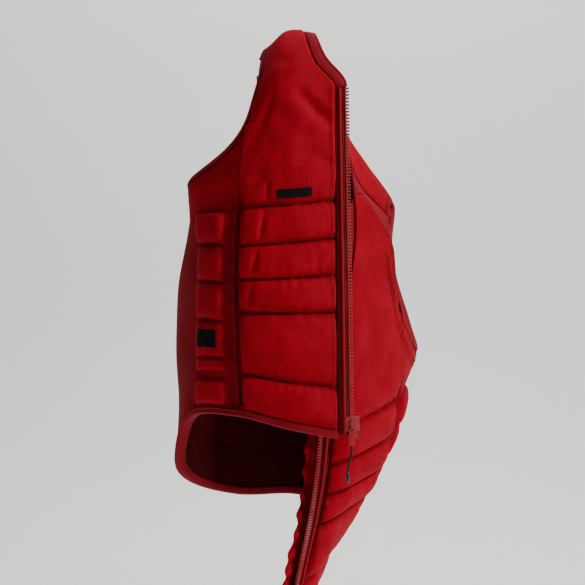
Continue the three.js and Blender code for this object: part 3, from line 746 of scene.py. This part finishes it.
wear_finish(hem, BINDING, replaces=["hem_binding"])

# %% Collars with their piping
def zip_edge(low, high, points):
    """The front edge of a panel between two heights."""
    return np.stack([np.zeros(points), np.linspace(low, high, points)], 1)


COLLAR = rounded([(0.6, 3.5), (5, 0.4), (12, -0.2), (17, 1.2), (18.4, 5), (17.4, 10), (12, 12), (5, 12.4),
                  (0.6, 10)], 2)
NECK_PIPING, ZIP_PIPING = disc(2.0, 18.4, 2.0), disc(2.3, 8.6, 2.6)
NECK_EDGE = even_line(np.vstack([[0, 478], [0, 482], NECK_LINE[1:]]), 3.0, 2)
BACK_NECK = even_line([(420, 598), (441, 585), (490, 574), (539, 585), (560, 598)], 3.0)
for side in ("right", "left"):
    collar = sweep(f"{side}_neck_collar", side, NECK_EDGE, COLLAR, 0.5 * ripple(NECK_EDGE[:, 1] / 8, 0, 33))
    wear_finish(collar, BINDING, replaces=[f"{side}_collar"])
    wear_finish(sweep(f"{side}_neck_piping", side, NECK_EDGE, NECK_PIPING), PIPING)
    edge = zip_edge(2, 484, 170)
    piping = sweep(f"{side}_zip_piping", side, edge, ZIP_PIPING, 0.4 * ripple(edge[:, 1] / 12, 0, 34))
    wear_finish(piping, PIPING)
collar = sweep("back_neck_collar", "right", BACK_NECK, COLLAR)
wear_finish(collar, BINDING, replaces=["back_collar"])
wear_finish(sweep("back_neck_piping", "right", BACK_NECK, NECK_PIPING), PIPING)

# %% Shoulder seams
SEAM_WIDTH, SEAM_POINTS, ACROSS_POINTS = 95, 34, 9


def shoulder(side):
    """A strip of tape over the join of front and back; it swells a little in the middle."""
    f = np.linspace(0, 1, SEAM_POINTS)
    u = np.linspace(0, 1, ACROSS_POINTS)
    rise = CREST + 0.5 - CREST_DROP * f
    layers = []
    for depth, swell in ((-0.5, 1.6), (16.5, -1.0)):
        front = hang(side, 55 + SEAM_WIDTH * f, rise, depth)
        back = hang(side, 325 + SEAM_WIDTH * (1 - f), rise, depth)
        out = front - hang(side, 55 + SEAM_WIDTH * f, rise, depth + 1)
        out = out / np.linalg.norm(out, axis=1, keepdims=True) * swell * 0.001
        layers.append(front[:, None] * (1 - u)[None, :, None] + back[:, None] * u[None, :, None]
                      + out[:, None] * np.sin(math.pi * u)[None, :, None])
    uv = np.stack(np.broadcast_arrays(u[None, :] * 14, f[:, None] * SEAM_WIDTH), -1).reshape(-1, 2) * 0.001
    points = np.vstack([layer.reshape(-1, 3) for layer in layers])
    faces = shell_faces(SEAM_POINTS, ACROSS_POINTS)
    return face_out(finish_mesh(f"{side}_shoulder_join", points, faces, np.vstack([uv, uv])))


for side in ("right", "left"):
    wear_finish(shoulder(side), BINDING, replaces=[f"{side}_shoulder_seam"])

# %% [markdown]
# ## The zip
# A separating zip: a woven tape beside each front edge, a moulded bead with teeth on its free side,
# and a slider on the right chain. One tooth is modelled once; a Geometry Nodes tree sets a copy at
# each point of the chain, turned by two stored directions, so the pitch lives in one place.

# %% Tapes and beads
# The tape folds back at its inner edge, down to the lining, and closes the panel's front edge.
TAPE = rounded([(0.4, 4.0), (16.2, 4.0), (16.2, 5.2), (1.8, 5.4), (1.6, 15.4), (0.4, 15.4)], 1)
CORE_REACH, CHAIN_DEPTH = 17.3, 4.6
CHAIN_FOOT = {"right": 7.0, "left": 24.0}
for side in ("right", "left"):
    edge = zip_edge(1, 481, 150)
    tape = sweep(f"{side}_woven_tape", side, edge, TAPE, 0.3 * ripple(edge[:, 1] / 11, 0, 36))
    wear_finish(tape, ZIP_TAPE, replaces=[f"{side}_zip_tape"])

# %% Turn and stretch of each copy
def turn_of(tree):
    """z goes along the line first; then y turns about it until it points out of the cloth."""
    turned = None
    for name, axis, pivot in (("along", "Z", "AUTO"), ("out", "Y", "Z")):
        stored = add(tree, "GeometryNodeInputNamedAttribute", data_type="FLOAT_VECTOR")
        stored.inputs["Name"].default_value = name
        align = add(tree, "FunctionNodeAlignRotationToVector", [("Vector", stored.outputs["Attribute"])],
                    axis=axis, pivot_axis=pivot)
        if turned is not None:
            tree.links.new(turned, align.inputs["Rotation"])
        turned = align.outputs["Rotation"]
    return turned


def stretch_of(tree, given):
    """Scale of each copy: its length is uneven by a fixed-seed draw, its width is not."""
    limits = []
    for operation in ("SUBTRACT", "ADD"):
        limit = add(tree, "ShaderNodeMath", [(1, given["Unevenness"])], operation=operation)
        limit.inputs[0].default_value = 1.0
        limits.append(limit.outputs[0])
    draw = add(tree, "FunctionNodeRandomValue", data_type="FLOAT")
    for socket, source in ((2, limits[0]), (3, limits[1]), ("Seed", given["Seed"])):
        tree.links.new(source, draw.inputs[socket])
    longer = add(tree, "ShaderNodeMath", [(0, given["Length scale"]), (1, draw.outputs[1])],
                 operation="MULTIPLY")
    width = given["Width scale"]
    scale = add(tree, "ShaderNodeCombineXYZ", [("X", width), ("Y", width), ("Z", longer.outputs[0])])
    return scale.outputs["Vector"]

# %% One tree that sets pieces along stored points
def repeat_tree():
    """Copies Piece on each point, turned to the stored vectors 'along' and 'out'."""
    tree = bpy.data.node_groups.new("set pieces along a line", "GeometryNodeTree")
    sockets, link = tree.interface.new_socket, tree.links.new
    sockets("Geometry", in_out="INPUT", socket_type="NodeSocketGeometry")
    for label, kind, value in (("Piece", "Object", None), ("Length scale", "Float", 1.0),
                               ("Width scale", "Float", 1.0), ("Unevenness", "Float", 0.0),
                               ("Seed", "Int", 3), ("Finish", "Material", None)):
        socket = sockets(label, in_out="INPUT", socket_type="NodeSocket" + kind)
        if value is not None:
            socket.default_value = value
    sockets("Geometry", in_out="OUTPUT", socket_type="NodeSocketGeometry")
    start, end = tree.nodes.new("NodeGroupInput"), tree.nodes.new("NodeGroupOutput")
    scale = stretch_of(tree, start.outputs)
    info = add(tree, "GeometryNodeObjectInfo", [("Object", start.outputs["Piece"])])
    points = add(tree, "GeometryNodeMeshToPoints", [("Mesh", start.outputs["Geometry"])])
    copies = add(tree, "GeometryNodeInstanceOnPoints", [
        ("Points", points.outputs["Points"]), ("Instance", info.outputs["Geometry"]),
        ("Rotation", turn_of(tree)), ("Scale", scale)])
    real = add(tree, "GeometryNodeRealizeInstances", [("Geometry", copies.outputs["Instances"])])
    finish = add(tree, "GeometryNodeSetMaterial", [("Geometry", real.outputs["Geometry"]),
                                                   ("Material", start.outputs["Finish"])])
    link(finish.outputs["Geometry"], end.inputs["Geometry"])
    return tree


ROW_TREE = repeat_tree()
print("row tree:", len(ROW_TREE.nodes), "nodes")

# %% Use the tree
def set_along(name, rows, one, finish, uneven=0.0, seed=3):
    """Copies of one small object on rows of (places, along, out), as one plain mesh."""
    places, along, out = (np.concatenate(part) for part in zip(*rows))
    mesh = bpy.data.meshes.new(name + "_points")
    mesh.from_pydata([tuple(p) for p in places], [], [])
    for key, vectors in (("along", along), ("out", out)):
        mesh.attributes.new(key, "FLOAT_VECTOR", "POINT").data.foreach_set("vector", vectors.ravel())
    holder = put_in_scene(name + "_points", mesh)
    modifier = holder.modifiers.new("row", "NODES")
    modifier.node_group = ROW_TREE
    inputs = {item.name: item.identifier for item in ROW_TREE.interface.items_tree
              if item.in_out == "INPUT"}
    for label, value in (("Piece", one), ("Unevenness", uneven), ("Seed", seed), ("Finish", finish)):
        modifier[inputs[label]] = value
    holder.update_tag()
    graph = bpy.context.evaluated_depsgraph_get()
    result = bpy.data.meshes.new_from_object(holder.evaluated_get(graph))
    piece = put_in_scene(name, result)
    bpy.data.objects.remove(holder)
    shade_smooth(result, False)
    print(f"{name}: {len(places)} copies")
    return piece


def frames_on(side, line, depth):
    """Places, travel directions and outward directions along a pattern line."""
    s, h = line[:, 0], line[:, 1]
    place = hang(side, s, h, depth)
    along = np.gradient(place, axis=0)
    along /= np.linalg.norm(along, axis=1, keepdims=True)
    out = place - hang(side, s, h, np.asarray(depth) + 1)
    out -= along * np.sum(out * along, axis=1, keepdims=True)
    out /= np.linalg.norm(out, axis=1, keepdims=True)
    return place, along, out


def small_block(name, size, bevel):
    """A rounded block at the origin, sizes in metres along x, y, z."""
    work = bmesh.new()
    bmesh.ops.create_cube(work, size=1)
    bmesh.ops.scale(work, vec=size, verts=work.verts)
    bmesh.ops.bevel(work, geom=work.edges[:] + work.verts[:], offset=bevel, segments=1, profile=0.5,
                    affect="EDGES")
    mesh = bpy.data.meshes.new(name)
    work.to_mesh(mesh)
    work.free()
    return put_in_scene(name, mesh)


# %% Bead and teeth of both chains
CHAIN_HEAD, TOOTH_PITCH, TOOTH_REACH = 480, 4.5, 2.0
tooth = small_block("tooth_pattern", (0.0064, 0.0044, 0.0027), 0.0006)
for side in ("right", "left"):
    foot = CHAIN_FOOT[side]
    edge = zip_edge(foot - 1, 481, 200)
    bead = sweep(f"{side}_zip_bead", side, edge, disc(1.5, CORE_REACH, CHAIN_DEPTH, 8))
    wear_finish(bead, ZIP_PLASTIC)
    h = foot + TOOTH_PITCH / 2 + TOOTH_PITCH * np.arange(int((CHAIN_HEAD - foot) // TOOTH_PITCH))
    line = np.stack([np.full_like(h, -CORE_REACH - TOOTH_REACH), h], 1)
    teeth = set_along(f"{side}_teeth", [frames_on(side, line, CHAIN_DEPTH)], tooth, ZIP_PLASTIC)
    wear_finish(teeth, ZIP_PLASTIC, replaces=[f"{side}_zip_teeth"])
bpy.data.objects.remove(tooth)

# %% [markdown]
# ## Slider, tab and cord
# The slider rides at the foot of the right chain. Its parts are small rounded blocks joined in a
# frame of their own: x towards the panel, y out of the fabric, z up the zip.

# %% The slider's own frame
SLIDER_FOOT, HALF_SLIDER, SLIDER_AIM = 7.0, 10.0, 400
foot_place, aim_place = (Vector(place) for place in hang(
    "right", -CORE_REACH, [SLIDER_FOOT + HALF_SLIDER, SLIDER_AIM], CHAIN_DEPTH))
zip_up = (aim_place - foot_place).normalized()
out_row = Vector(outward(np.array([-CORE_REACH]), np.array([ZIP_TOP / 2]))[0])
zip_out = (out_row - zip_up * out_row.dot(zip_up)).normalized()
zip_in = zip_out.cross(zip_up)
ZIP_FRAME = Matrix((zip_in, zip_out, zip_up)).transposed().to_4x4()
ZIP_FRAME.translation = foot_place
print("slider frame at", [round(v, 5) for v in foot_place], "up", [round(v, 5) for v in zip_up])


def part_block(work, x, y, z, bevel=0.35):
    """Adds one rounded block, limits in millimetres along each axis of the slider's frame."""
    made = bmesh.ops.create_cube(work, size=1)["verts"]
    size = [hi - lo for lo, hi in (x, y, z)]
    middle = [(lo + hi) / 2 for lo, hi in (x, y, z)]
    bmesh.ops.scale(work, vec=size, verts=made)
    bmesh.ops.translate(work, vec=middle, verts=made)
    edges = {edge for vert in made for edge in vert.link_edges}
    bmesh.ops.bevel(work, geom=[*made, *edges], offset=min(bevel, min(size) * 0.3), segments=3, profile=0.6,
                    affect="EDGES")


def hardware(name, build, finish, body, replaces):
    """Builds a moulded piece in the slider's frame, then sets it in its place on the chain."""
    work = bmesh.new()
    build(work)
    bmesh.ops.scale(work, vec=(0.001,) * 3, verts=work.verts)
    bmesh.ops.transform(work, matrix=ZIP_FRAME, verts=work.verts)
    bmesh.ops.recalc_face_normals(work, faces=work.faces)
    mesh = bpy.data.meshes.new(name)
    work.to_mesh(mesh)
    work.free()
    shade_smooth(mesh)
    return wear_finish(put_in_scene(name, mesh), finish, body, replaces)


# %% Blocks of the slider
PLATE_X, PLATE_IN, PLATE_OUT = (-11.9, 7.5), 2.9, 4.5
POST_X, BRIDGE_X = (-7.9, -5.9), (-1.2, 1.2)


def slider_blocks(work):
    """Two plates, the post between them and the bridge that holds the tab."""
    plate_z = (-HALF_SLIDER, HALF_SLIDER)
    part_block(work, PLATE_X, (PLATE_IN, PLATE_OUT), plate_z, 0.7)
    part_block(work, PLATE_X, (-PLATE_OUT, -PLATE_IN), plate_z, 0.7)
    part_block(work, POST_X, (-4.3, 4.3), (-6, 8))
    part_block(work, BRIDGE_X, (7.1, 8.5), (-7, 7), 0.5)
    for leg in ((-7, -5.4), (5.4, 7)):
        part_block(work, BRIDGE_X, (4.3, 7.4), leg, 0.4)


# %% Blocks of the pull tab
PIVOT_Y, PIVOT_Z = 5.8, -3.9
TAB_THICK, TAB_HALF, TAB_EYE, TAB_LONG = 1.6, 4, 7, 27
TAB_HEAD = PIVOT_Z + TAB_THICK / 2
TAB_FOOT = TAB_HEAD - TAB_LONG


def tab_blocks(work):
    """An eye round the slider's bridge, a flat grip, and five raised ribs for wet fingers."""
    y = (PIVOT_Y - TAB_THICK / 2, PIVOT_Y + TAB_THICK / 2)
    part_block(work, (-TAB_HALF, TAB_HALF), y, (TAB_HEAD - TAB_THICK, TAB_HEAD), 0.5)
    for rail in ((-TAB_HALF, -2.2), (2.2, TAB_HALF)):
        part_block(work, rail, y, (TAB_HEAD - TAB_EYE, TAB_HEAD), 0.5)
    part_block(work, (-TAB_HALF, TAB_HALF), y, (TAB_FOOT, TAB_HEAD - TAB_EYE + 0.2), 0.6)
    for step in range(5):
        z = TAB_FOOT + 5 + step * 2.4
        part_block(work, (-2.6, 2.6), (PIVOT_Y + 0.7, PIVOT_Y + 1.1), (z, z + 1.0), 0.2)


# %% Blocks of the box, and all the hardware
BOX_LOW, BOX_TOP, SOCKET_LOW, BOX_Y = -20, -10.5, -18.4, (-2.9, 2.9)


def box_blocks(work):
    """Walls round the socket that takes the other half's pin."""
    part_block(work, (-11.0, 1.5), BOX_Y, (BOX_LOW, SOCKET_LOW), 0.6)
    part_block(work, (-5.3, 1.5), BOX_Y, (BOX_LOW, BOX_TOP), 0.6)
    part_block(work, (-11.0, -9.3), BOX_Y, (BOX_LOW, BOX_TOP), 0.4)
    for wall in ((-2.9, -2.0), (2.0, 2.9)):
        part_block(work, (-11.0, -5.0), wall, (BOX_LOW, BOX_TOP), 0.3)


hardware("slider_body", slider_blocks, ZIP_PLASTIC, "slider", ["zip_slider"])
hardware("tab", tab_blocks, TAB_PLASTIC, "pull", ["pull_tab"])
hardware("end_box", box_blocks, ZIP_PLASTIC, "jacket", ["retainer_box"])
pin = sweep("separating_pin", "left", zip_edge(-2, 23.2, 14), disc(1.6, CORE_REACH, CHAIN_DEPTH, 8))
wear_finish(pin, ZIP_PLASTIC, replaces=["insertion_pin"])

# %% [markdown]
# ## The pull cord
# A limp 3 mm cord hangs from the tab and ends in a moulded sleeve. It is a tube along a smoothed
# route, with a braid laid on by its own UV.

# %% Cord and cord end
CORD_RADIUS = 0.0015
SLEEVE_STEPS = (0, 0.5, 1.5, 4, 8, 12, 13.2, 13.8)
SLEEVE_RADII = np.array([1.5, 2.0, 2.35, 2.5, 2.4, 2.3, 2.0, 1.2]) * 0.001
CORD_ROUTE = [(0, 0, 0), (0, 0, -4), (0.4, 0, -8), (1.1, 0.2, -12), (2.1, 0.4, -16), (3.2, 0.6, -20),
              (4.3, 0.7, -24), (5.2, 0.7, -28), (5.9, 0.6, -32), (6.4, 0.5, -36)]
route = np.array([(x, PIVOT_Y + y, TAB_FOOT - 0.3 + z) for x, y, z in CORD_ROUTE])
route = smooth(np.arange(len(route), dtype=float), route, np.linspace(0, len(route) - 1, 28))
route = np.array([ZIP_FRAME @ Vector(p * 0.001) for p in route])


def tube(name, path, radius, sides=12):
    """A closed tube in metres; radius is one number or one for each point."""
    along = np.gradient(path, axis=0)
    along /= np.linalg.norm(along, axis=1, keepdims=True)
    first = np.cross(along, np.array(zip_out))
    first /= np.linalg.norm(first, axis=1, keepdims=True)
    second = np.cross(along, first)
    turn = np.linspace(0, 2 * math.pi, sides, endpoint=False)
    radius = np.broadcast_to(radius, len(path))[:, None, None]
    ring = path[:, None] + radius * (first[:, None] * np.cos(turn)[None, :, None]
                                     + second[:, None] * np.sin(turn)[None, :, None])
    uv = np.stack(np.broadcast_arrays(turn[None, :] * CORD_RADIUS, run_along(path)[:, None]), -1)
    return face_out(finish_mesh(name, ring.reshape(-1, 3), tube_faces(len(path), sides), uv.reshape(-1, 2)))


cord = tube("zip_cord", route, CORD_RADIUS)
end_path = np.array([ZIP_FRAME @ (Vector((6.7, PIVOT_Y + 0.5, TAB_FOOT - 36.8 - step)) * 0.001)
                     for step in SLEEVE_STEPS])
sleeve = tube("cord_sleeve", end_path, SLEEVE_RADII, 20)
wear_finish(cord, BLACK_CORD, "pull", ["pull_cord"])
wear_finish(sleeve, BLACK_PLASTIC, "pull", ["cord_end"])

# %% [markdown]
# ## Blank labels and the wind flap
# The labels carry no print. The wind flap is a free strip of neoprene behind the left chain, whose
# outer edge has gone wavy because it is longer than the seam that holds it.

# %% Labels
def flat_grid(low, high, rows, cols):
    """A rectangle of pattern places between two corners."""
    s = np.linspace(low[0], high[0], cols)[None, :] * np.ones((rows, 1))
    return s, np.linspace(low[1], high[1], rows)[:, None] * np.ones((1, cols))


def label(name, relief, low, high, replaces, rows, cols):
    s, h = flat_grid(low, high, rows, cols)
    under = relief("right", s, h)
    piece = two_faced(name, "right", s, h, under - 1.3, under - 0.1, 0.6)
    return wear_finish(piece, BLACK_RUBBER, replaces=replaces)


label("front_label", front_relief, (36, 331), (86, 343), ["chest_label"], 30, 60)
label("badge", side_relief, (171, 104), (201, 134), ["side_badge"], 40, 40)

# %% Wind flap
FLAP_ROOT, FLAP_REACH, FLAP_THICK = 20, -40, 2.4


def wind_flap():
    """Waves grow with the distance u from the seam to the free edge."""
    u, h = flat_grid((0, 10), (1, 473), 260, 26)
    edge = FLAP_REACH + 3.0 * np.sin(h / 5.6) * np.clip(h / 60, 0.4, 1) + 1.2 * np.sin(h / 13 + 1)
    s = FLAP_ROOT + (edge - FLAP_ROOT) * u
    wave = (u ** 2) * (3.2 * np.sin(h / 5.6 + 0.8) + 1.5 * np.sin(h / 17))
    top = LINER_BASE + 1.0 + wave + 0.2 * np.clip((0.45 - u) / 0.45, 0, 1)
    return two_faced("flap", "left", s, h, top, top + FLAP_THICK, 1.0)


flap = wear_finish(wind_flap(), RED_NEOPRENE, replaces=["wind_flap"])

# %% [markdown]
# ## Stitching
# Lockstitches hold the channels, the bindings and the zip. One stitch is modelled once, and the
# same tree that set the teeth sets it along every seam; zigzag rows turn each stitch a little. A
# stronger cover stitch runs in two rows round the left armhole; its thread is made dark as painted shade.

# %% Helpers for rows
def stitch_row(side, line, depth, zigzag=0.0):
    """Stitch frames along a line; zigzag turns every other stitch the other way."""
    places, along, out = frames_on(side, line, depth)
    if zigzag:
        sway = np.where(np.arange(len(line)) % 2, 1, -1)[:, None] * zigzag
        along = along + np.cross(out, along) * sway
        along /= np.linalg.norm(along, axis=1, keepdims=True)
    return places, along, out


def across_line(start, end, h, pitch=3.4):
    s = np.arange(start, end, pitch)
    return np.stack([s, np.full_like(s, h)], 1)


def up_line(s, low, high, pitch=3.4):
    h = np.arange(low, high, pitch)
    return np.stack([np.full_like(h, s), h], 1)


def on_relief(relief, side, line):
    """Depth that sinks a thread halfway into the skin."""
    return relief(side, line[:, 0], line[:, 1]) - 0.15


def beside_arm(reach, pitch):
    line = even_line(ARM_LINE, pitch, 0)
    return line + beside(line) * reach


def arm_depth(side, line):
    """Depth of the panels' skin beside the armhole, whichever panel the point lies on."""
    s, h = line[:, 0], line[:, 1]
    under = side_relief(side, np.clip(s, 146, 302), h)
    behind = np.where(s >= 303, back_relief(side, s, h), under)
    return np.where(s <= PRINCESS, front_relief(side, s, h), behind)


# %% Rows of both fronts and sides
stitch = small_block("stitch_pattern", (0.00085, 0.00065, 0.0027), 0.0002)
TAPE_THREAD, EDGE_THREAD = 3.85, 2.45   # thread depths on the zip tape and by the hem
rows = []
for side in ("right", "left"):
    for h in CHANNELS:
        line = across_line(4, 142, h)
        rows.append(stitch_row(side, line, on_relief(front_relief, side, line)))
    for s in (5.2, 7.6):
        line = up_line(s, 8, 480)
        rows.append(stitch_row(side, line, on_relief(front_relief, side, line)))
    for s, relief in ((141.0, front_relief), (149.5, side_relief)):
        line = up_line(s, 8, 398)
        rows.append(stitch_row(side, line, on_relief(relief, side, line), 0.5))
    for reach in (-6.5, -3.8):
        line = beside_arm(reach, 3.2)
        rows.append(stitch_row(side, line, arm_depth(side, line) - 0.15, 0.6))
    line = even_line(NECK_EDGE, 3.0, 0)
    rows.append(stitch_row(side, line + beside(line) * 4.0, 0.6))
    for s, low in ((-3.0, 4), (-13.2, 26)):
        rows.append(stitch_row(side, up_line(s, low, 478, 3.0), TAPE_THREAD))

# %% Rows of the back and the hem
for h in CHANNELS:
    line = across_line(318, 662, h)
    rows.append(stitch_row("right", line, on_relief(back_relief, "right", line)))
for reach in (-3.2, 1.6):
    line = across_line(4, 976, 0, 3.2)[::-1]
    rows.append(stitch_row("right", line + beside(line) * reach, EDGE_THREAD))
wear_finish(set_along("stitching", rows, stitch, THREAD, 0.12), THREAD)
bpy.data.objects.remove(stitch)

# %% Cover stitch round the left armhole
# The cover stitches are real; their dark thread colour is painted shade.
cover_stitch = small_block("cover_stitch_pattern", (0.0013, 0.0009, 0.0040), 0.0003)
rows = []
for reach in (-21.0, -15.5):
    line = beside_arm(reach, 5.0)[10:-10]
    rows.append(stitch_row("left", line, arm_depth("left", line) - 0.25, 0.9))
wear_finish(set_along("cover_stitching", rows, cover_stitch, DARK_THREAD, 0.15, 5), DARK_THREAD)
bpy.data.objects.remove(cover_stitch)

# %% [markdown]
# ## Floor, light and camera
# The light is a large soft key from the upper right, a weak fill from the left and a pale surround.

# %% Floor and backdrop
def backdrop():
    """A floor that curves up into a wall well behind the jacket."""
    work = bmesh.new()
    profile = [(-4.0, -1.0), (1.6, -1.0), (2.1, -0.9), (2.35, -0.6), (2.45, -0.2), (2.45, 3.0)]
    lines = [[work.verts.new((x, y, z)) for x in (-5.0, 5.0)] for y, z in profile]
    for low, high in zip(lines[:-1], lines[1:]):
        work.faces.new((low[0], low[1], high[1], high[0]))
    mesh = bpy.data.meshes.new("studio_floor")
    work.to_mesh(mesh)
    work.free()
    shade_smooth(mesh)
    mesh.materials.append(new_finish("pale studio floor", (0.86, 0.86, 0.85), 0.9)[0])
    piece = put_in_scene("studio_floor", mesh)
    curve = piece.modifiers.new("soften", "SUBSURF")
    curve.levels = curve.render_levels = 3
    return piece


backdrop()

# %% Lights
def area_light(name, place, target, size, power, colour=(1, 1, 1)):
    """A rectangle of light at a place in metres, turned to its target; power in watts."""
    lamp = bpy.data.lights.new(name, "AREA")
    lamp.shape, lamp.size, lamp.size_y = "RECTANGLE", size[0], size[1]
    lamp.energy, lamp.color = power, colour
    holder = put_in_scene(name, lamp)
    holder.location = place
    holder.rotation_euler = (Vector(target) - Vector(place)).to_track_quat("-Z", "Y").to_euler()


area_light("key", (2.0, -0.95, 1.3), (0.0, 0.05, -0.35), (0.40, 0.40), 76, (1.0, 0.97, 0.97))
area_light("fill", (-1.8, -1.6, 0.1), (0.0, 0.05, -0.4), (1.4, 1.4), 2.4, (0.95, 0.97, 1.0))
area_light("back", (0.3, 1.9, 0.9), (0.0, 0.1, -0.4), (1.5, 1.0), 6)
area_light("backdrop", (0.0, 0.7, 2.6), (0.0, 2.4, -0.4), (2.5, 0.6), 110)
world = bpy.context.scene.world or bpy.data.worlds.new("surround")
bpy.context.scene.world = world
world.use_nodes = True
surround = world.node_tree.nodes["Background"]
surround.inputs["Color"].default_value = (0.86, 0.88, 0.92, 1)
surround.inputs["Strength"].default_value = 0.13

# %% Camera
eye = bpy.data.cameras.new("eye")
eye.sensor_width, eye.lens = 36.0, 89.2
camera = put_in_scene("eye", eye)
camera.location = (0.0159, -2.018, -0.351)
camera.rotation_euler = (math.radians(90), 0, 0)
bpy.context.scene.camera = camera
